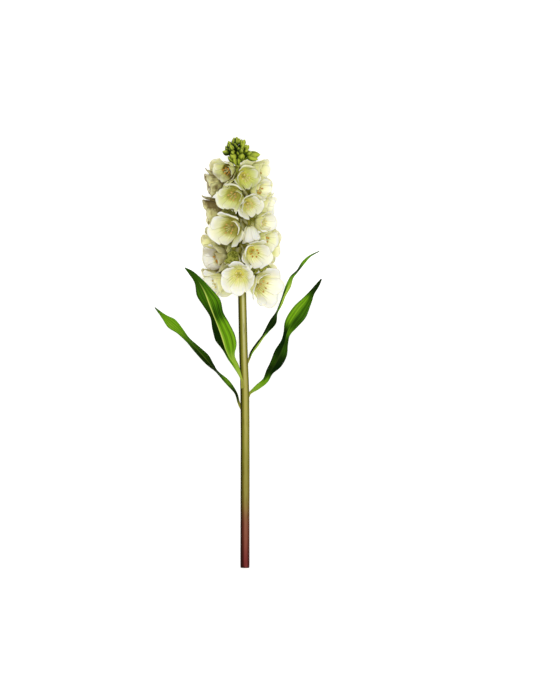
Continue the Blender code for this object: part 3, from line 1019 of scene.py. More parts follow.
@dataclass(frozen=True)
class StemLine:
    """The line that the stem follows: height along it, how far it lies to the right, and its radius."""

    cut_end_y: float = -250 * MM
    cut_end_z: float = 5.4 * MM
    slope: float = 0.108
    rows: tuple[tuple[float, float, float], ...] = (
        (0 * MM, 8.1 * MM, 5.4 * MM),
        (195 * MM, 8.1 * MM, 5.2 * MM),
        (253 * MM, 6.4 * MM, 5.0 * MM),
        (320 * MM, 4.9 * MM, 4.8 * MM),
        (400 * MM, 3.1 * MM, 4.2 * MM),
        (468 * MM, -0.2 * MM, 2.8 * MM),
        (500 * MM, -1.6 * MM, 1.2 * MM),
    )

    @property
    def along(self) -> Array:
        """The direction from the cut end to the buds."""
        return unit(np.array((0.0, 1.0, self.slope)))

    @property
    def up(self) -> Array:
        """The direction up from the stem."""
        return np.cross(TO_THE_RIGHT, self.along)

    def point(self, height: Array | float) -> Array:
        """The stem's middle at a height."""
        aside = Curve(self.rows).at(height)[..., 0]
        return np.stack((aside, self.cut_end_y + height, self.cut_end_z + self.slope * height), axis=-1)

    def radius(self, height: Array | float) -> Array:
        """The stem's radius at a height."""
        return Curve(self.rows).at(height)[..., 1]

    def outward(self, azimuth: float) -> Array:
        """The direction out from the stem, 0 to its right and 90 up, in degrees."""
        turn = math.radians(azimuth)
        return math.cos(turn) * TO_THE_RIGHT + math.sin(turn) * self.up


LINE = StemLine()


@dataclass(frozen=True)
class Bell:
    """Where one bell is and how it stands.

    height and azimuth place its mouth round the stem, reach is how far the mouth is from the stem's
    axis, nod is in degrees, opening runs from -1, closed, to 1, flat, and turn is how far it is turned
    on its stalk, in degrees.
    """

    height: float
    azimuth: float
    radius: float
    reach: float
    nod: float
    opening: float
    turn: float


@dataclass(frozen=True)
class Look:
    """How a bell is coloured, each from 0 to 1.

    green is how green its petals still are, ripe how orange its anthers are, deep how dark its throat is,
    partly the throat's own colour and partly painted shade in the cup, and, above 1, how far the dark
    reaches, brown how much it has dried and browned, together with painted shade on the bells of the
    left side, away from the light, and young how far the green of its base reaches up its back, from 0,
    nowhere, to 1, all the way. Points hold each under its own name.
    """

    green: float
    ripe: float
    dark_throat_and_shade: float
    brown: float = 0.0
    young: float = 0.28


@dataclass(frozen=True)
class Head:
    """The plan of all the bells."""

    in_sight: tuple[Bell, ...] = (
        Bell(460 * MM, 128, 15.0 * MM, 29 * MM, 14, 0.0, 10),
        Bell(453 * MM, 66, 16.5 * MM, 32 * MM, 10, -0.3, 40),
        Bell(460 * MM, 22, 15.0 * MM, 34 * MM, 8, 0.1, 0),
        Bell(446 * MM, 174, 15.5 * MM, 37 * MM, 10, 0.1, 25),
        Bell(431 * MM, 107, 17.0 * MM, 35 * MM, 18, -0.1, 15),
        Bell(421.5 * MM, 67, 14.8 * MM, 37 * MM, 14, 0.0, 50),
        Bell(438 * MM, 36, 14.5 * MM, 37 * MM, 10, 0.2, 5),
        Bell(415 * MM, 178, 16.5 * MM, 41 * MM, 14, 0.2, 35),
        Bell(394 * MM, 116, 20.5 * MM, 41 * MM, 12, 0.1, 20),
        Bell(420.5 * MM, 19, 14.5 * MM, 39 * MM, 10, 0.1, 30),
        Bell(401 * MM, 36, 15.0 * MM, 41 * MM, 12, 0.2, 45),
        Bell(359 * MM, 148, 17.5 * MM, 42 * MM, 12, 0.0, 10),
        Bell(366 * MM, 63, 18.5 * MM, 43 * MM, 14, 0.5, 30),
        Bell(381 * MM, 33, 14.5 * MM, 42 * MM, 12, 0.2, 55),
        Bell(336 * MM, 196, 16.0 * MM, 43 * MM, 12, 0.0, 30),
        Bell(330 * MM, 152, 16.5 * MM, 43 * MM, 14, 0.0, 50),
        Bell(340 * MM, 96, 18.5 * MM, 43 * MM, 12, 0.8, 30),
        Bell(328 * MM, 45, 21.0 * MM, 45 * MM, 10, 0.3, 0),
    )
    hanging: tuple[Bell, ...] = (
        Bell(380.5 * MM, 70, 14.3 * MM, 32 * MM, 80, -0.3, 0),
        Bell(354 * MM, 110, 12.5 * MM, 31 * MM, 80, -0.4, 20),
        Bell(345.5 * MM, 38, 10.5 * MM, 31 * MM, 76, -0.4, 40),
    )
    far_rows: tuple[tuple[float, tuple[float, ...], float, float], ...] = (
        (456 * MM, (220, 296), 15.5 * MM, 32 * MM),
        (433 * MM, (262, 316), 17.0 * MM, 37 * MM),
        (405 * MM, (232, 290), 18.5 * MM, 41 * MM),
        (372 * MM, (202, 264, 334), 18.5 * MM, 42 * MM),
        (334 * MM, (246, 311), 19.5 * MM, 43 * MM),
    )
    far_nod: float = 12
    far_opening: float = 0.1
    far_turn: float = 25
    # How far left the far bells must lie to get painted shade, and how fast it grows.
    painted_shade_from: float = 0.45
    painted_shade_rises: float = 1.2
    # The fourth number of a look, brown, is partly withering and partly painted shade, highest on the
    # bells of the left side, away from the light.
    looks_in_sight: tuple[Look, ...] = (
        Look(0.7, 1.0, 2.5, 0.5),
        Look(0.75, 0.1, 0.1),
        Look(0.5, 0.7, 0.35, 0.15),
        Look(0.2, 0.3, 0.5, 1.0),
        Look(0.65, 0.7, 0.55),
        Look(0.25, 0.3, 0.2),
        Look(0.3, 0.9, 0.3),
        Look(0.1, 0.3, 0.5, 1.0),
        Look(0.3, 0.75, 0.65),
        Look(0.25, 0.3, 0.2),
        Look(0.15, 0.1, 0.2),
        Look(0.0, 1.0, 2.5, 0.55),
        Look(0.1, 1.0, 0.05),
        Look(0.45, 0.9, 0.4),
        Look(0.0, 0.3, 0.5, 0.6),
        Look(0.0, 0.4, 0.05),
        Look(0.1, 0.0, 0.05),
        Look(0.1, 0.8, 0.3),
    )
    looks_hanging: tuple[Look, ...] = (
        Look(0.0, 0.3, 0.5, 0.0, 0.0),
        Look(0.0, 0.3, 0.5, 0.0, 1.0),
        Look(0.0, 0.3, 0.5, 0.0, 1.0),
    )
    look_far: Look = Look(0.2, 0.5, 0.5)

    def bells(self) -> list[Bell]:
        """Lists all the bells.

        Returns:
            Those in sight, the hanging ones and the far side.
        """
        found = [*self.in_sight, *self.hanging]
        near = len(found)
        for height, azimuths, radius, reach in self.far_rows:
            for azimuth in azimuths:
                turn = self.far_turn * (len(found) - near)
                found.append(Bell(height, azimuth, radius, reach, self.far_nod, self.far_opening, turn))
        return found

    def looks(self) -> list[Look]:
        """Lists how the bells look.

        Returns:
            The look of every bell, in the order of bells().
        """
        found = [*self.looks_in_sight, *self.looks_hanging]
        for bell in self.bells()[len(found) :]:
            # Painted shade on the far bells: the further left they lie, away from the light, the more
            # brown they get.
            leftward = -math.cos(math.radians(bell.azimuth))
            brown = max(self.painted_shade_rises * (leftward - self.painted_shade_from), 0.0)
            found.append(replace(self.look_far, brown=brown))
        return found


@dataclass(frozen=True)
class BellShape:
    """The shape that every bell has, in shares of its mouth's radius."""

    depth: float = 1.35
    profile: Curve = Curve(
        (
            (0.0, 0.12, 0.06),
            (0.2, 0.42, 0.24),
            (0.45, 0.64, 0.56),
            (0.65, 0.78, 0.90),
            (0.85, 0.92, 1.20),
            (1.0, 1.10, 1.35),
        )
    )
    spread: Curve = Curve(((0.0, 30), (0.25, 37), (0.55, 40), (0.8, 40), (0.93, 37), (1.0, 34)))
    open_out: float = 0.16
    open_flat: float = 0.16
    petals: int = 6
    layer_step: float = 0.05
    tip_round: float = 0.15
    open_round: float = 0.15
    edge_curl: float = 0.06
    wave: float = 0.05
    waves: int = 5
    heart: float = 0.65
    softness: float = 8
    least_lean: float = 0.01
    least_room: float = 1 * MM
    bell_margin: float = 1.2 * MM
    floor_margin: float = 1.3 * MM
    ceiling: float = 473 * MM
    under_nods_less: float = 0.8
    least_clear: float = 3 * MM
    stalk_rise: float = 6 * MM
    highest_stalk: float = 464 * MM
    seat: tuple[tuple[float, float], ...] = ((0.0, 0.15), (0.06, 0.26), (0.2, 0.29))


SHAPE = BellShape()


class BellPlace:
    """Where a bell's base is, which way it faces, and how much room it has."""

    def __init__(self, bell: Bell, seed: int) -> None:
        """Places the bell on the stem.

        Args:
            bell: the bell.
            seed: the number that its edge's waves start from.
        """
        self.seed = seed
        self.opening = bell.opening
        self.radius = bell.radius
        self.depth = SHAPE.depth * bell.radius * (1 - SHAPE.open_flat * bell.opening)
        out = LINE.outward(bell.azimuth)
        level = max(0.0, -out[2])
        nod = math.radians(bell.nod * (1 - SHAPE.under_nods_less * level))
        centre = LINE.point(bell.height)
        reach = min(bell.reach, (centre[2] - SHAPE.least_clear) / level) if level else bell.reach
        self.axis = math.cos(nod) * out - math.sin(nod) * LINE.along
        self.base = centre + reach * out - self.depth * self.axis
        self.middle = self.base + SHAPE.heart * self.depth * self.axis
        self.side = unit(np.cross(self.axis, LINE.along))
        self.other = np.cross(self.axis, self.side)
        self.turn = math.radians(bell.turn)
        stalk_height = bell.height + self.depth * math.sin(nod) + SHAPE.stalk_rise
        self.stalk_height = min(stalk_height, SHAPE.highest_stalk)
        self.walls: list[tuple[Array, float]] = []

    def make_room(self, others: list[BellPlace]) -> None:
        """Sets the flat walls that keep the bell off its neighbours, the surface and the buds.

        Args:
            others: all the bells.
        """
        for other in others:
            if other is self:
                continue
            step = other.middle - self.middle
            apart = float(np.linalg.norm(step))
            near = (apart**2 + self.radius**2 - other.radius**2) / (2 * apart)
            normal = step / apart
            self.walls.append((normal, float(self.middle.dot(normal)) + near - SHAPE.bell_margin))
        self.walls.append((-STRAIGHT_UP, -SHAPE.floor_margin))
        self.walls.append((LINE.along, float(LINE.point(SHAPE.ceiling).dot(LINE.along))))

    def direction(self, turn: Array) -> Array:
        """Straight out from the bell's axis."""
        return np.cos(turn)[..., None] * self.side + np.sin(turn)[..., None] * self.other

    def drawn_in(self, turn: Array, distance: Array, along: Array) -> Array:
        """The distance from the bell's axis, less where a wall is near.

        Args:
            turn: the turn about the axis.
            distance: the distance that it would have with no walls.
            along: the distance along the axis.

        Returns:
            The distance that fits.
        """
        direction = self.direction(turn)
        on_axis = self.base + along[..., None] * self.axis
        total = distance**-SHAPE.softness
        for normal, limit in self.walls:
            lean = direction @ normal
            room = np.maximum(limit - on_axis @ normal, SHAPE.least_room)
            safe = np.maximum(lean, SHAPE.least_lean)
            total = total + np.where(lean > SHAPE.least_lean, (room / safe) ** -SHAPE.softness, 0.0)
        return total ** (-1 / SHAPE.softness)

    def point(self, turn: Array, distance: Array, along: Array) -> Array:
        """The point at a turn, a distance from the axis and a distance along it."""
        return self.base + along[..., None] * self.axis + distance[..., None] * self.direction(turn)

    def petal(self, index: int, share: Array, across: Array) -> Array:
        """Points of one petal.

        Args:
            index: the petal's number.
            share: from its root, 0, to its tip, 1.
            across: from one edge, -1, to the other, 1.

        Returns:
            The points.
        """
        outer = 1 if index % 2 == 0 else -1
        tip_round = SHAPE.tip_round + SHAPE.open_round * max(self.opening, 0.0)
        share = share * (1 - tip_round * np.abs(across) ** 2.2 * share**2.5)
        profile = SHAPE.profile.at(share)
        distance = profile[..., 0] * (1 + SHAPE.open_out * self.opening * share**2)
        along = profile[..., 1] * (1 - SHAPE.open_flat * self.opening * share**2)
        spread = np.radians(SHAPE.spread.at(share)[..., 0])
        turn = self.turn + 2 * math.pi * index / SHAPE.petals + spread * across
        wave = SHAPE.wave * share**2 * np.sin(SHAPE.waves * turn + self.seed)
        layer = outer * (SHAPE.layer_step + SHAPE.edge_curl * across**2 * share**2)
        fitted = self.drawn_in(turn, (distance + wave) * self.radius, along * self.radius)
        return self.point(turn, fitted + layer * self.radius, along * self.radius)


@dataclass
class Bloom(Part):
    """One bell's petals on their green seat."""

    place: BellPlace
    look: Look
    number: int
    rows: int = 24
    columns: int = 17
    root_thick: float = 0.9 * MM
    rim_thick: float = 0.25 * MM
    ruffle: float = 0.028
    broad_waves: float = 4.2
    fine_waves: float = 8.5
    fine_share: float = 0.6
    fine_slant: float = 2.0
    ripple: float = 0.014
    ripples: float = 6
    groove: float = 0.02
    groove_wide: float = 0.16
    cup: float = 0.03
    cup_level: float = 0.4
    reflex: float = 0.03
    reflex_varies: float = 0.8
    overlap: float = 0.035
    sway: float = 0.09
    skew: float = 0.05
    lowest: float = 0.6 * MM
    seed_step: int = 100
    seat_sides: int = 24
    seat_rings: int = 10
    seat_lobe: float = 0.06
    seat_low: float = 0.02
    seat_floor: float = 0.24
    seat_wall: Curve = Curve(
        ((0.0, 0.02, 0.12), (0.25, 0.05, 0.22), (0.5, 0.10, 0.275), (1.0, 0.22, 0.29)),
    )

    def petal_points(self, index: int, share: Array, across: Array) -> Array:
        """The middle of one petal, with its normals towards the bell's axis.

        Args:
            index: the petal's number.
            share: from its root, 0, to its tip, 1.
            across: from one edge, 1, to the other, -1.

        Returns:
            The grid of points.
        """
        points = self.place.petal(index, share, across)
        rng = np.random.default_rng(self.seed_step * self.number + index)
        phase = rng.uniform(0, 2 * math.pi, 3)
        loose, twisted = rng.uniform((0.0, -1.0), 1.0)
        outer = -1 if index % 2 == 0 else 1
        fine = np.sin(self.fine_waves * across + self.fine_slant * share + phase[1])
        waves = np.sin(self.broad_waves * across + phase[0]) + self.fine_share * fine
        lift = self.ruffle * share**3 * waves
        lift += self.ripple * share**2 * np.sin(self.ripples * share + phase[2])
        lift -= self.groove * np.exp(-((across / self.groove_wide) ** 2)) * np.sin(math.pi * share)
        lift += self.cup * (across**2 - self.cup_level) * np.sin(math.pi * share)
        lift -= self.reflex * share**6 * (1 + self.reflex_varies * np.sin(phase[2]))
        lift += outer * self.overlap * share**2 * across**4
        lift += (outer * self.sway * loose + self.skew * twisted * across) * share**2
        points = points + grid_normals(points) * (lift * self.place.radius)[..., None]
        points[..., 2] = np.maximum(points[..., 2], self.lowest)
        return points

    def shape(self) -> None:
        """Adds the petals and the seat."""
        place = self.place
        held = asdict(self.look)
        room = cells(SHAPE.petals + 1)
        share, across = blade(self.rows, self.columns)
        edge = np.maximum(share**2, across**2)
        thickness = self.root_thick + (self.rim_thick - self.root_thick) * edge
        for index in range(SHAPE.petals):
            numbers = {"share": share, "across": -across, **held}
            self.maker.sheet(self.petal_points(index, share, -across), thickness, numbers, room[index])
        turns = circle(self.seat_sides)
        lobes = 1 + self.seat_lobe * np.cos(SHAPE.petals * turns)
        wall = self.seat_wall.at(np.linspace(0, 1, self.seat_rings)) * place.radius
        along, distance = wall.T[..., None]
        rings = place.point(turns[None, :], distance * lobes, along + 0 * turns)
        low = place.base + self.seat_low * place.radius * place.axis
        high = place.base + self.seat_floor * place.radius * place.axis
        floor = (np.arange(self.seat_rings) == self.seat_rings - 1).astype(float)
        numbers = {"share": floor, "across": 0.0, "inside": 0.0, **held}
        self.maker.tube(rings, (low, high), numbers, room[-1], finish=1)


@dataclass(frozen=True)
class Knob:
    """A rounded body with furrows along it, and the number of its material."""

    length: float
    radius: float
    lobes: int
    lobe: float
    rings: int
    sides: int
    first_turn: float
    finish: int


@dataclass
class Stamens(Part):
    """Six stamens and a pistil on the disc that they grow from."""

    place: BellPlace
    look: Look
    number: int
    disc: float = 0.16
    disc_thick: float = 0.9 * MM
    disc_sides: int = 18
    disc_rings: tuple[tuple[float, float], ...] = ((0.8, 0.0), (1.0, 0.35), (0.8, 0.8), (0.45, 1.05))
    disc_top: float = 1.15
    lift: float = 0.3 * MM
    length: float = 0.92
    root: float = 0.08
    spread: float = 0.30
    uneven: float = 0.06
    uneven_step: float = 3
    bow: float = -0.05
    first_seed: int = 500
    anther_leans: float = 0.5
    tip_thins: float = 0.8
    pistil_root: float = 1.3
    thread_rings: int = 9
    thread_sides: int = 8
    thread_radius: float = 0.36 * MM
    sunk: float = 0.2 * MM
    pistil_bend: float = 0.06
    anther: Knob = Knob(3.0 * MM, 0.95 * MM, 2, 0.22, 9, 12, 0.12, 1)
    stigma: Knob = Knob(1.2 * MM, 0.8 * MM, 3, 0.25, 8, 15, 0.15, 0)

    def thread(
        self, ends: tuple[Array, Array], bow: float, radii: tuple[float, float], cell: Cell
    ) -> Array:
        """Adds one bowed thread.

        Args:
            ends: its first and last point.
            bow: how far its middle stands out from the bell's axis.
            radii: its radius at its two ends.
            cell: its place on the texture map.

        Returns:
            Its direction at its last point.
        """
        share = np.linspace(0, 1, self.thread_rings)
        start, end = ends
        out = unit((end - start) - self.place.axis * (end - start).dot(self.place.axis))
        centres = start + share[:, None] * (end - start) + out * bow * np.sin(math.pi * share)[:, None]
        numbers = {"share": share, **asdict(self.look)}
        self.maker.rod(centres, np.linspace(*radii, self.thread_rings), self.thread_sides, numbers, cell)
        return unit(centres[-1] - centres[-2])

    def knob(self, knob: Knob, middle: Array, direction: Array, cell: Cell) -> None:
        """Adds a rounded body.

        Args:
            knob: its shape.
            middle: its middle.
            direction: the way that it points.
            cell: its place on the texture map.
        """
        turns = np.linspace(knob.first_turn, math.pi - knob.first_turn, knob.rings)
        half = 0.5 * knob.length * direction
        lobes = 1 + knob.lobe * np.cos(knob.lobes * circle(knob.sides))
        radii = knob.radius * np.sin(turns)[:, None] * lobes
        rings = rings_along(middle - np.cos(turns)[:, None] * half, radii, knob.sides)
        numbers = {"share": 0.5, **asdict(self.look)}
        self.maker.tube(rings, (middle - half, middle + half), numbers, cell, knob.finish)

    def shape(self) -> None:
        """Adds the threads with their anthers, the pistil and the disc."""
        place = self.place
        room = cells(2 * SHAPE.petals + 3)
        flat = 1 - SHAPE.open_flat * place.opening
        floor = SHAPE.seat[-1][0] * place.radius + self.lift
        rng = np.random.default_rng(self.first_seed + self.number)
        for index in range(SHAPE.petals):
            turn = np.array(place.turn + 2 * math.pi * (index + 0.5) / SHAPE.petals)
            length = self.length + self.uneven * math.sin(self.uneven_step * index + place.seed)
            top = np.array(place.radius * length * flat)
            distance = self.spread * place.drawn_in(turn, np.array(place.radius), top)
            root = place.point(turn, np.array(self.root * place.radius), np.array(floor))
            tip = place.point(turn, distance, top - 0.5 * self.anther.length)
            radii = (self.thread_radius, self.tip_thins * self.thread_radius)
            direction = self.thread((root, tip), self.bow * place.radius, radii, room[index])
            lean = unit(direction + self.anther_leans * rng.normal(size=3))
            self.knob(self.anther, tip + self.sunk * direction, lean, room[SHAPE.petals + index])
        root = place.base + (floor + self.sunk) * place.axis
        aside = self.pistil_bend * place.radius * place.side
        tip = root + (place.radius * flat - floor) * place.axis + aside
        radii = (self.pistil_root * self.thread_radius, self.thread_radius)
        direction = self.thread((root, tip), 0.0, radii, room[-3])
        self.knob(self.stigma, tip, direction, room[-2])
        self.floor_disc(floor, room[-1])

    def floor_disc(self, floor: float, cell: Cell) -> None:
        """Adds the domed disc that carries the threads.

        Args:
            floor: how far it is from the bell's base.
            cell: its place on the texture map.
        """
        place = self.place
        turns = circle(self.disc_sides)[None, :]
        share, along = np.array(self.disc_rings).T[..., None]
        distance = share * self.disc * place.radius + 0 * turns
        rings = place.point(turns, distance, floor + along * self.disc_thick + 0 * turns)
        low = place.base + floor * place.axis
        high = low + self.disc_top * self.disc_thick * place.axis
        self.maker.tube(rings, (low, high), {"share": 0.0, **asdict(self.look)}, cell)


@dataclass
class Stem(Part):
    """The stem with its cut end and the short stalk of each bell."""

    places: list[BellPlace]
    top: float = 468 * MM
    rings: int = 190
    sides: int = 40
    ribs: int = 7
    rib: float = 0.018
    ribs_twist: float = 6
    uneven: float = 0.012
    lumps: float = 75
    cut_rounding: float = 0.03
    cut_rounded: float = 0.8 * MM
    cut_sunk: float = 0.35 * MM
    side_level: float = 0.65
    side_swing: float = 0.35
    side_steep: float = 4
    stalk_radius: float = 1.5 * MM
    stalk_bend: float = 0.55
    stalk_steps: int = 14
    stalk_sides: int = 12
    foot_widens: float = 0.7
    foot_long: float = 0.25
    end_widens: float = 0.25
    end_long: float = 0.12
    gap: float = 0.3 * MM
    along_root: float = 0.75
    along_falls: float = 0.15
    stalk_side: float = -0.3

    def core(self) -> None:
        """Adds the main stem."""
        heights = np.linspace(0.0, self.top, self.rings)[:, None]
        turns = circle(self.sides)
        waves = self.rib * np.cos(self.ribs * turns + self.ribs_twist * heights)
        uneven = self.uneven * np.sin(self.lumps * heights + 2 * turns)
        rounded = 1 - self.cut_rounding * np.exp(-((heights / self.cut_rounded) ** 2))
        radii = LINE.radius(heights) * (1 + np.minimum(waves, 0) + np.minimum(uneven, 0)) * rounded
        rings = rings_along(LINE.point(heights[:, 0]), radii, self.sides, TO_THE_RIGHT)
        # The number side runs from -1, left, to 1, right, and is nearer 0 on the lower half. The stem skin
        # paints its highlight stripe a little right of the middle and painted shade along both edges from
        # it.
        swing = self.side_swing * np.tanh(1 - self.side_steep * np.sin(turns))
        side = np.cos(turns) * (self.side_level + swing)
        numbers = {"along": heights / self.top, "side": side[None, :]}
        ends = (LINE.point(0.0) + self.cut_sunk * LINE.along, LINE.point(self.top))
        self.maker.tube(rings, ends, numbers, Cell(wide=0.5), first_finish=1)

    def stalk(self, place: BellPlace, cell: Cell) -> None:
        """Adds one bell's curved stalk, which widens where it grows from the stem and under the seat.

        Args:
            place: the bell's place.
            cell: the stalk's place on the texture map.
        """
        start = LINE.point(place.stalk_height)
        end = place.base - self.gap * place.axis
        middle = end - self.stalk_bend * np.linalg.norm(end - start) * place.axis
        t = np.linspace(0, 1, self.stalk_steps)
        foot = self.foot_widens * np.exp(-((t / self.foot_long) ** 2))
        tip = self.end_widens * np.exp(-(((1 - t) / self.end_long) ** 2))
        centres = bend(start, middle, end, self.stalk_steps)
        # The along numbers fall where the stem skin paints shade high up among the bells.
        numbers = {"along": self.along_root - self.along_falls * t, "side": self.stalk_side}
        self.maker.rod(centres, self.stalk_radius * (1 + foot + tip), self.stalk_sides, numbers, cell)

    def shape(self) -> None:
        """Adds the stem and the stalks, the stalks on the right half of the texture map."""
        self.core()
        room = [cell for cell in cells(2 * len(self.places) + 8) if cell.left > 0.5]
        for place, cell in zip(self.places, room):
            self.stalk(place, cell)


@dataclass
class Bracts(Part):
    """The narrow leaflet under each bell's stalk, close to the stem."""

    places: list[BellPlace]
    length: float = 14 * MM
    wide: float = 4.0 * MM
    thick: float = 0.4 * MM
    below: float = 5 * MM
    sunk: float = 1 * MM
    outward: float = 0.75
    droop: float = 0.65
    aimed: float = 0.1
    hollow: float = 0.25
    along_root: float = 0.75
    along_falls: float = 0.06
    edge_side: float = 0.4
    rows: int = 12
    columns: int = 7
    outline: Curve = Curve(((0.0, 0.55), (0.3, 1.0), (0.7, 0.75), (1.0, 0.06)))

    def shape(self) -> None:
        """Adds the leaflets."""
        share, across = blade(self.rows, self.columns)
        wide = self.wide * self.outline.at(share)[..., 0]
        for place, cell in zip(self.places, cells(len(self.places))):
            height = place.stalk_height - self.below
            foot = LINE.point(height)
            middle = place.base + self.aimed * place.depth * place.axis - foot
            out = unit(middle - middle.dot(LINE.along) * LINE.along)
            reach = float(LINE.radius(height)) - self.sunk + self.length * self.outward * share
            droop = -self.length * self.droop * share**1.6 - self.hollow * wide * across**2
            points = foot + reach[..., None] * out + droop[..., None] * LINE.along
            points = points + (across * wide)[..., None] * np.cross(out, LINE.along)
            # Their along numbers fall where the stem skin paints shade high up among the bells, and their
            # side numbers take part of its painted highlight stripe.
            along = self.along_root - self.along_falls * share
            numbers = {"along": along, "side": self.edge_side * across}
            self.maker.sheet(points, self.thick, numbers, cell)


@dataclass(frozen=True)
class Bud:
    """One closed bud: its place and size, how far it leans along the stem and outwards, and how much
    brighter it is.
    """

    height: float
    azimuth: float
    reach: float
    radius: float
    length: float
    lean: float
    spread: float
    bright: float = 0.0


@dataclass
class BudTuft(Part):
    """The stem's tip and the buds round it, the lowest ones the largest and furthest out."""

    lower: tuple[Bud, ...] = (
        Bud(479.5 * MM, 14, 20 * MM, 4.8 * MM, 15 * MM, 0.1, 1, -0.25),
        Bud(478.5 * MM, 62, 10 * MM, 4.2 * MM, 9 * MM, 0.7, 1),
        Bud(478.5 * MM, 122, 10 * MM, 4.2 * MM, 9 * MM, 0.5, 1, 0.45),
    )
    count: int = 14
    start: float = 20
    turn: float = 137.5
    lowest: float = 481 * MM
    highest: float = 497 * MM
    reach: float = 15.0 * MM
    radii: tuple[float, float] = (4.2 * MM, 3.0 * MM)
    lengths: tuple[float, float] = (9.0 * MM, 6.5 * MM)
    lean: float = 0.35
    least_spread: float = 0.2
    slim: float = 0.8
    # The direction that painted light on the buds comes from, and how strongly it is painted.
    painted_light_from: tuple[float, float, float] = (0.70, 0.40, 0.60)
    painted_light: float = 0.9
    fillers: tuple[tuple[int, float, float, float], ...] = (
        (17, 75, 0.62, 0.72),
        (19, 200, 0.95, 0.66),
        (15, 310, 0.80, 0.70),
    )
    long_buds: tuple[Bud, ...] = (
        Bud(475 * MM, 40, 7.5 * MM, 2.2 * MM, 11 * MM, 1.1, 0.9),
        Bud(473 * MM, 78, 7.5 * MM, 2.1 * MM, 12 * MM, 1.4, 0.6, 0.6),
        Bud(473.5 * MM, 110, 9.0 * MM, 2.3 * MM, 12 * MM, 1.4, 0.7, 0.8),
        Bud(474 * MM, 146, 9.5 * MM, 2.3 * MM, 12 * MM, 1.0, 0.9, 0.7),
        Bud(476 * MM, 25, 19.5 * MM, 3.6 * MM, 14 * MM, -0.15, 1.0),
        Bud(494 * MM, 12, 8.5 * MM, 2.6 * MM, 7 * MM, 1.5, 0.5),
        Bud(489 * MM, 168, 9.5 * MM, 2.6 * MM, 7 * MM, 1.2, 0.8),
    )
    rings: int = 14
    sides: int = 18
    furrows: int = 3
    furrow: float = 0.12
    furrow_wide: float = 0.3
    point: float = 0.04
    tone_and_painted_light: float = 0.38
    # How much brighter the buds on the right side, towards the lamps, are painted.
    lit_side: float = 0.3
    uneven: float = 0.35
    stalk_radii: tuple[float, float] = (0.8 * MM, 1.12 * MM)
    stalk_bow: float = 0.15
    least_rise: float = 2 * MM
    stalk_rings: int = 8
    stalk_sides: int = 8
    stalk_drop: float = 7 * MM
    stalk_seat: float = 0.25
    stalk_share: float = 0.28
    tip_start: float = 468.3 * MM
    tip_end: float = 498 * MM
    tip_rings: int = 16
    tip_sides: int = 16
    tip_share: float = 0.2
    tip_tone: float = 0.2
    seed: int = 7
    outline: Curve = Curve(
        ((0.0, 0.30), (0.12, 0.72), (0.35, 1.0), (0.62, 0.90), (0.86, 0.48), (1.0, 0.08)),
    )

    def spiral(self, count: int, start: float, reach_share: float, size: float) -> list[Bud]:
        """Buds in a golden-angle spiral.

        Args:
            count: how many.
            start: the first one's azimuth, in degrees.
            reach_share: a factor on their reach.
            size: a factor on their radius and length.

        Returns:
            The buds, the lowest first.
        """
        found = []
        for k in range(count):
            share = k / (count - 1)
            height = self.lowest + (self.highest - self.lowest) * share
            reach = reach_share * self.reach * math.sqrt(max(1 - share, 0))
            radius = self.slim * size * (self.radii[0] + (self.radii[1] - self.radii[0]) * share)
            length = size * (self.lengths[0] + (self.lengths[1] - self.lengths[0]) * share)
            outward = 1 - (1 - self.least_spread) * share
            azimuth = start + self.turn * k
            found.append(Bud(height, azimuth, reach, radius, length, self.lean + share, outward))
        return found

    def bud(self, bud: Bud, tone_and_painted_light: float, room: list[Cell]) -> None:
        """Adds one bud with its shallow furrows, and its curved stalk.

        Args:
            bud: the bud.
            tone_and_painted_light: how bright it is, from 0 to 1, partly its own colour and partly painted
                light.
            room: the places of the bud and the stalk on the texture map.
        """
        out = LINE.outward(bud.azimuth)
        direction = unit(bud.lean * LINE.along + bud.spread * out)
        base = LINE.point(bud.height) + bud.reach * out - 0.5 * bud.length * direction
        share = np.linspace(0, 1, self.rings)
        across = np.exp(-((np.sin(self.furrows / 2 * circle(self.sides)) / self.furrow_wide) ** 2))
        groove = across * np.sin(math.pi * share)[:, None]
        centres = base + share[:, None] * bud.length * direction
        radii = bud.radius * self.outline.at(share) * (1 - self.furrow * groove)
        rings = rings_along(centres, radii, self.sides)
        # Painted light: each point is brighter the more it faces the lamps, darker on the far side.
        painted_light = unit(rings - centres[:, None, :]) @ unit(np.array(self.painted_light_from))
        numbers = {"share": share, "tone_and_painted_light": tone_and_painted_light + self.painted_light * painted_light, "groove": groove}
        top = centres[-1] + self.point * bud.length * direction
        self.maker.tube(rings, (centres[0], top), numbers, room[0])
        foot = LINE.point(max(bud.height - self.stalk_drop, self.tip_start + self.least_rise))
        end = base + self.stalk_seat * bud.length * direction
        middle = 0.5 * (foot + end) - self.stalk_bow * np.linalg.norm(end - foot) * direction
        centres = bend(foot, middle, end, self.stalk_rings)
        radii = np.linspace(*self.stalk_radii, self.stalk_rings)
        numbers = {"share": self.stalk_share, "tone_and_painted_light": tone_and_painted_light, "groove": 0.0}
        self.maker.rod(centres, radii, self.stalk_sides, numbers, room[1])

    def shape(self) -> None:
        """Adds the stem's tip and the buds."""
        buds = [*self.lower, *self.long_buds, *self.spiral(self.count, self.start, 1.0, 1.0)]
        for filler in self.fillers:
            buds += self.spiral(*filler)
        room = cells(2 * len(buds) + 1)
        heights = np.linspace(self.tip_start, self.tip_end, self.tip_rings)
        numbers = {"share": self.tip_share, "tone_and_painted_light": self.tip_tone, "groove": 0.0}
        self.maker.rod(LINE.point(heights), LINE.radius(heights), self.tip_sides, numbers, room[-1])
        rng = np.random.default_rng(self.seed)
        for k, bud in enumerate(buds):
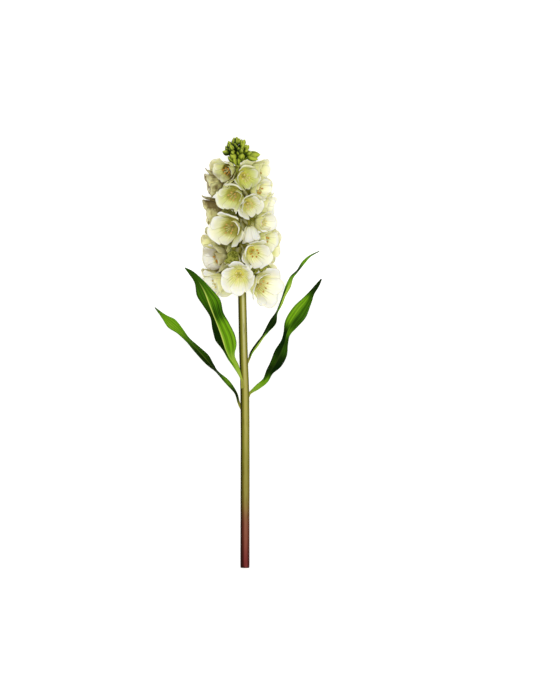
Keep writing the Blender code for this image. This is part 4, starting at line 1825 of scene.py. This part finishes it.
            # Painted light: the buds on the right side, towards the lamps, are brighter.
            lit = self.lit_side * math.cos(math.radians(bud.azimuth))
            tone_and_painted_light = self.tone_and_painted_light + bud.bright + lit + float(rng.uniform(-self.uneven, self.uneven))
            self.bud(bud, tone_and_painted_light, room[2 * k : 2 * k + 2])


@dataclass(frozen=True)
class LeafPlan:
    """The stations of one leaf from its root to its tip, in millimetres, and how bright its halves are.

    A station holds the midrib's X, Y and Z, then how far the left and the right edge stand off it across
    and up. The foot is one more such row, against the stem. A brightness row holds a share of the length
    and the brightness of the left and the right half, from 0 up, which is painted light and shade, and
    midrib is how pale the midrib is.
    """

    name: str
    foot: tuple[float, ...]
    stations: tuple[tuple[float, ...], ...]
    painted_light_rows: tuple[tuple[float, float, float], ...]
    midrib: float


LEAVES = (
    LeafPlan(
        "leaf_lower_left",
        (5.2, -66.0, 25.3, 2.2, 0, 2.2, 0),
        (
            (1.1, -58.6, 26, 1.4, 1, 1.4, -1),
            (-2.5, -47.1, 28.6, 1.4, 3, 1.6, -2),
            (-12.6, -34.2, 31, 2.2, 4, 3.0, -3),
            (-24.2, -22.6, 34, 1.3, 5, 1.3, -4),
            (-30.6, -15.5, 35.2, 2.6, 4, 3.2, -4),
            (-38.3, -6.5, 36, 3.9, 3, 5.6, -3),
            (-48.7, 5.1, 35.7, 4.1, 4, 3.6, -4),
            (-57.7, 14.8, 34.2, 3.0, 5, 2.6, -4),
            (-67.3, 25.1, 30.8, 4.2, 4, 4.2, -4),
            (-77.0, 33.4, 26.5, 6.0, 2, 6.6, 1),
            (-86.0, 41.8, 21, 3.0, 1, 3.0, 1),
            (-96.6, 52.4, 14, 0.5, 0, 0.5, 0),
        ),
        (
            (0.0, 0.25, 0.3),
            (0.06, 0.05, 0.05),
            (0.11, 0.05, 0.15),
            (0.17, 0.6, 0.7),
            (0.22, 0.4, 0.6),
            (0.27, 0.1, 0.1),
            (0.36, 0.05, 0.05),
            (0.5, 0.08, 0.2),
            (0.6, 0.35, 0.4),
            (0.7, 0.7, 0.65),
            (0.82, 1.05, 0.9),
            (0.92, 0.7, 0.75),
            (1.0, 0.2, 0.2),
        ),
        0.15,
    ),
    LeafPlan(
        "leaf_upper_left",
        (7.0, -41.0, 33.3, 3.2, -1.5, 3.2, -1.5),
        (
            (4.0, -30.7, 34.5, 1.2, 0, 1.6, 0),
            (-1.6, -17.5, 38.5, 2.6, 2, 3.4, 2),
            (-9.4, -6.9, 43, 2.2, 4, 7.0, 2),
            (-14.4, 3.2, 48, 2.6, 4, 13.6, 3),
            (-18.0, 16.0, 52.5, 8.4, 4, 15.4, 3),
            (-22.6, 28.9, 58, 7.0, 4, 13.6, 4),
            (-27.8, 41.8, 63, 4.2, 4, 12.0, 3),
            (-33.4, 56.6, 68, 7.4, 4, 14.0, 2),
            (-38.4, 70.2, 72.5, 10.0, 2, 8.6, 1),
            (-46.1, 83.1, 75.5, 4.8, 2, 4.8, -1),
            (-54.5, 92.1, 77, 2.4, 2, 3.2, -1),
            (-61.5, 98.3, 77, 0.5, 0, 0.5, 0),
        ),
        (
            (-0.05, 1.3, 1.4),
            (0.1, 1.2, 1.3),
            (0.18, 0.7, 1.2),
            (0.27, 0.1, 0.95),
            (0.36, 0.02, 0.9),
            (0.45, 0.04, 0.85),
            (0.55, 0.1, 0.3),
            (0.64, 0.3, 0.6),
            (0.73, 0.35, 0.5),
            (0.82, 0.25, 0.35),
            (0.91, 0.3, 0.25),
            (1.0, 0.3, 0.3),
        ),
        1.0,
    ),
    LeafPlan(
        "leaf_upper_right",
        (10.0, -13.0, 31.0, 2.0, 0, 2.0, 0),
        (
            (13.1, -7.1, 31.6, 1.3, 0, 1.3, 0),
            (16.0, 0.3, 34.2, 1.6, 2, 1.6, -1),
            (21.8, 8.7, 37.3, 1.8, 3, 2.2, -2),
            (28.9, 18.4, 40.5, 1.6, 4, 1.6, -3),
            (34.1, 26.1, 42.8, 2.6, 4, 2.6, -3),
            (40.5, 35.8, 45.3, 3.4, 4, 4.4, -3),
            (45.0, 46.1, 47.5, 1.2, 5, 1.2, -4),
            (49.6, 56.4, 49.5, 1.6, 5, 1.8, -4),
            (53.4, 66.7, 51, 1.4, 4, 2.4, -4),
            (57.9, 77.0, 52.2, 2.2, 4, 3.6, -4),
            (62.4, 87.3, 53, 2.0, 4, 2.0, -4),
            (69.5, 95.1, 53, 1.2, 4, 1.2, -3),
            (76.0, 104.1, 52.7, 1.8, 3, 1.8, -3),
            (83.7, 111.8, 52, 1.1, 1, 1.1, -1),
            (94.7, 117.6, 51, 0.5, 0, 0.5, 0),
        ),
        (
            (0.0, 0.1, 0.3),
            (0.07, 0.05, 1.1),
            (0.14, 0.1, 1.4),
            (0.22, 0.0, 1.3),
            (0.28, 0.05, 0.2),
            (0.38, 0.0, 0.1),
            (0.44, 0.05, 0.6),
            (0.5, 0.4, 1.4),
            (0.6, 0.3, 1.5),
            (0.68, 0.9, 1.2),
            (0.75, 0.2, 0.7),
            (0.8, 0.1, 0.2),
            (0.87, 0.8, 0.9),
            (1.0, 0.3, 0.3),
        ),
        0.05,
    ),
    LeafPlan(
        "leaf_lower_right",
        (11.0, -52.5, 26.8, 2.2, 0, 2.2, 0),
        (
            (14.2, -47.0, 27.3, 1.5, 1, 1.5, -1),
            (23.1, -39.6, 29.5, 2.8, 2, 3.2, -2),
            (31.5, -31.9, 31, 2.6, 3, 4.0, -2),
            (37.3, -22.2, 32.5, 4.6, 3, 4.0, -2),
            (44.4, -11.9, 34, 6.7, 3, 7.4, -1),
            (49.6, -0.3, 35, 7.0, 3, 8.0, 0),
            (54.1, 11.3, 35.6, 4.8, 4, 4.4, -1),
            (56.4, 21.6, 36, 3.9, 4, 4.4, -2),
            (61.8, 33.8, 34.9, 7.5, 3, 8.6, -1),
            (70.8, 47.4, 32.6, 8.4, 3, 10.4, 0),
            (79.8, 59.0, 29.3, 6.4, 2, 6.0, 1),
            (85.7, 69.3, 26, 3.0, 3, 3.4, -2),
            (92.1, 77.7, 22.3, 2.3, 1, 2.3, -1),
            (97.0, 85.4, 19, 0.8, 0, 0.8, 0),
        ),
        (
            (0.0, 1.1, 1.2),
            (0.1, 1.1, 1.1),
            (0.16, 0.4, 0.8),
            (0.23, 0.0, 0.0),
            (0.31, 0.15, -0.05),
            (0.4, 0.02, 0.25),
            (0.48, -0.05, 0.2),
            (0.55, 0.0, 0.6),
            (0.62, 0.75, 0.3),
            (0.7, 1.05, 0.4),
            (0.78, 0.8, 0.4),
            (0.86, 0.1, 0.1),
            (1.0, 0.0, 0.0),
        ),
        0.03,
    ),
)


@dataclass
class Leaf(Part):
    """A long waved blade with close parallel veins."""

    plan: LeafPlan
    number: int
    rows: int = 110
    columns: int = 37
    bow: float = 0.25
    ahead: float = 0.02
    foot: float = -0.05
    middle_thick: float = 0.9 * MM
    edge_thick: float = 0.4 * MM
    rib_thick: float = 0.5 * MM
    rib_wide: float = 0.08
    tip_thins: float = 0.4
    vein: float = 0.05 * MM
    veins: int = 6
    flutter: float = 0.03
    flutters: float = 26
    crease: float = 0.35 * MM
    crease_wide: float = 0.1
    halves_blend: float = 4
    first_seed: int = 900

    def points(self, share: Array, across: Array) -> Array:
        """The middle of the blade.

        Args:
            share: the share of the length of each row of points.
            across: how far across each column is.

        Returns:
            The grid of points.
        """
        last = len(self.plan.stations) - 1
        rows = [(self.foot, *self.plan.foot)]
        rows += [(k / last, *row) for k, row in enumerate(self.plan.stations)]
        line = Curve(tuple((row[0], *(value * MM for value in row[1:])) for row in rows))
        x, y, z, left, left_rise, right, right_rise = line.at(share)[..., None].swapaxes(0, 1)
        ahead = line.at(np.minimum(share + self.ahead, 1))[:, :2]
        behind = line.at(np.maximum(share - self.ahead, self.foot))[:, :2]
        forward = unit(ahead - behind)
        wide = across * np.where(across < 0, left, right)
        rise = np.where(across < 0, left_rise, right_rise)
        size = np.abs(across)
        lift = size * rise - self.bow * np.abs(rise) * size * (1 - size)
        return np.stack((x + wide * forward[:, 1:], y - wide * forward[:, :1], z + lift), axis=-1)

    def shape(self) -> None:
        """Adds the blade."""
        share, across = blade(self.rows, self.columns, self.foot)
        points = self.points(share[:, 0], across[0])
        width = np.linalg.norm(points[:, -1] - points[:, 0], axis=-1)[:, None]
        phase = np.random.default_rng(self.first_seed + self.number).uniform(0, 2 * math.pi)
        relief = self.vein * np.cos(self.veins * math.pi * across)
        relief += self.flutter * width * across**2 * np.sin(self.flutters * share + phase)
        relief -= self.crease * np.exp(-((across / self.crease_wide) ** 2))
        relief *= np.sin(math.pi * np.clip(share, 0, 1))
        points = points + grid_normals(points) * relief[..., None]
        thickness = self.middle_thick + (self.edge_thick - self.middle_thick) * np.abs(across)
        thickness += self.rib_thick * np.exp(-((across / self.rib_wide) ** 2)) * (1 - share)
        thickness *= 1 - self.tip_thins * share
        # Each half's brightness along the leaf, painted light and shade.
        left, right = np.moveaxis(Curve(self.plan.painted_light_rows).at(share), -1, 0)
        tone_and_painted_light = left + (right - left) * np.clip(0.5 + self.halves_blend * across, 0, 1)
        numbers = {"share": share, "across": across, "tone_and_painted_light": tone_and_painted_light, "rib": self.plan.midrib}
        self.maker.sheet(points, thickness, numbers, Cell())


@dataclass(frozen=True)
class Lamp:
    """A soft square lamp: its name, its place, its side, its power in watts and its colour."""

    name: str
    place: tuple[float, float, float]
    side: float
    power: float
    colour: Colour


@dataclass
class Studio:
    """The pale floor, the soft lights and the camera that looks straight down."""

    frame_width: float = 649.6 * MM
    aim: tuple[float, float, float] = (48.9 * MM, 2.9 * MM, 50 * MM)
    distance: float = 20.0
    sensor: float = 36.0
    frame_aspect: float = 560 / 700
    floor_side: float = 14.0
    floor_thick: float = 1 * MM
    floor_steps: int = 24
    lit_spot: tuple[float, float, float] = (48.9 * MM, 80 * MM, 0.0)
    room_light: float = 0.36
    lamps: tuple[Lamp, ...] = (
        Lamp("key", (0.9, 0.2, 2.2), 0.6, 1.5, (1.0, 0.98, 0.94)),
        Lamp("front", (0.0, 0.1, 2.8), 0.7, 46.0, (1.0, 0.99, 0.97)),
    )

    def floor(self, material: Material) -> None:
        """Makes the floor, a wide flat sheet whose top is the surface that the spike lies on.

        Args:
            material: its material.
        """
        line = np.linspace(-self.floor_side / 2, self.floor_side / 2, self.floor_steps)
        x, y = np.meshgrid(line, line)
        maker = MeshMaker()
        points = np.stack((x, y, np.full_like(x, -self.floor_thick / 2)), axis=-1)
        maker.sheet(points, self.floor_thick, {}, Cell())
        made = maker.build("paper", (material,))

    def lights(self) -> None:
        """Adds the lamps and the even light of the room."""
        for lamp in self.lamps:
            light = bpy.data.lights.new(lamp.name, "AREA")
            light.shape = "SQUARE"
            light.size = lamp.side
            light.energy = lamp.power
            light.color = lamp.colour
            made = bpy.data.objects.new(lamp.name, light)
            made.location = lamp.place
            sight = Vector(self.lit_spot) - made.location
            made.rotation_euler = sight.to_track_quat("-Z", "Y").to_euler()
            bpy.context.scene.collection.objects.link(made)
        world = bpy.data.worlds.new("room")
        world.use_nodes = True
        ground = world.node_tree.nodes["Background"]
        ground.inputs["Color"].default_value = (*WHITE, 1.0)
        ground.inputs["Strength"].default_value = self.room_light
        bpy.context.scene.world = world

    def camera(self) -> None:
        """Adds the camera, straight above the photograph's middle."""
        data = bpy.data.cameras.new("camera")
        height = self.frame_width / self.frame_aspect
        data.sensor_fit = "VERTICAL"
        data.sensor_height = self.sensor
        data.lens = self.sensor * self.distance / height
        data.clip_end = 2 * self.distance
        made = bpy.data.objects.new("camera", data)
        made.location = np.array(self.aim) + self.distance * STRAIGHT_UP
        bpy.context.scene.collection.objects.link(made)
        bpy.context.scene.camera = made

    def make(self, material: Material) -> None:
        """Sets up the whole studio.

        Args:
            material: the floor's material.
        """
        self.floor(material)
        self.lights()
        self.camera()
        bpy.context.scene.view_settings.view_transform = "Standard"


def attach(piece: Piece, slot: Slot, *nodes: str) -> None:
    """Ties a piece to the frame.

    Args:
        piece: the piece.
        slot: the record's slot. It is not used.
        nodes: the CAD nodes that it stands for.
    """
    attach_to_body(piece, BODY)
    if nodes:
        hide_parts(*nodes)
    LOG.info("%s: %d faces, for %s", piece.name, len(piece.data.polygons), ", ".join(nodes) or "no node")


def main() -> None:
    """Builds every sub-assembly in order."""
    logging.basicConfig(level=logging.INFO, format="%(name)s %(message)s")
    head = Head()
    places = [BellPlace(bell, seed) for seed, bell in enumerate(head.bells())]
    for place in places:
        place.make_room(places)
    bloom_skins = (PetalSkin().material(), SeatSkin().material())
    stamen_skins = (FilamentSkin().material(), PollenSkin().material())
    for number, (place, look) in enumerate(zip(places, head.looks()), start=1):
        petals = Bloom(place, look, number).make(f"petals_{number:02d}", *bloom_skins)
        attach(petals, Slot.PETAL, f"bloom_{number:02d}")
        name = f"stamens_{number:02d}"
        stamens = Stamens(place, look, number).make(name, *stamen_skins)
        attach(stamens, Slot.STAMEN, *([name] if number <= len(head.in_sight) else []))
    stem_skin = StemSkin().material()
    attach(Stem(places).make("stem_skin", stem_skin, CutSkin().material()), Slot.STEM, "stem")
    attach(Bracts(places).make("bracts", stem_skin), Slot.STEM)
    attach(BudTuft().make("buds", BudSkin().material()), Slot.BUD, "bud_cluster")
    leaf_skin = LeafSkin().material()
    for number, plan in enumerate(LEAVES):
        attach(Leaf(plan, number).make(f"{plan.name}_blade", leaf_skin), Slot.LEAF, plan.name)
    Studio().make(PaperSkin().material())


if __name__ == "__main__":
    main()
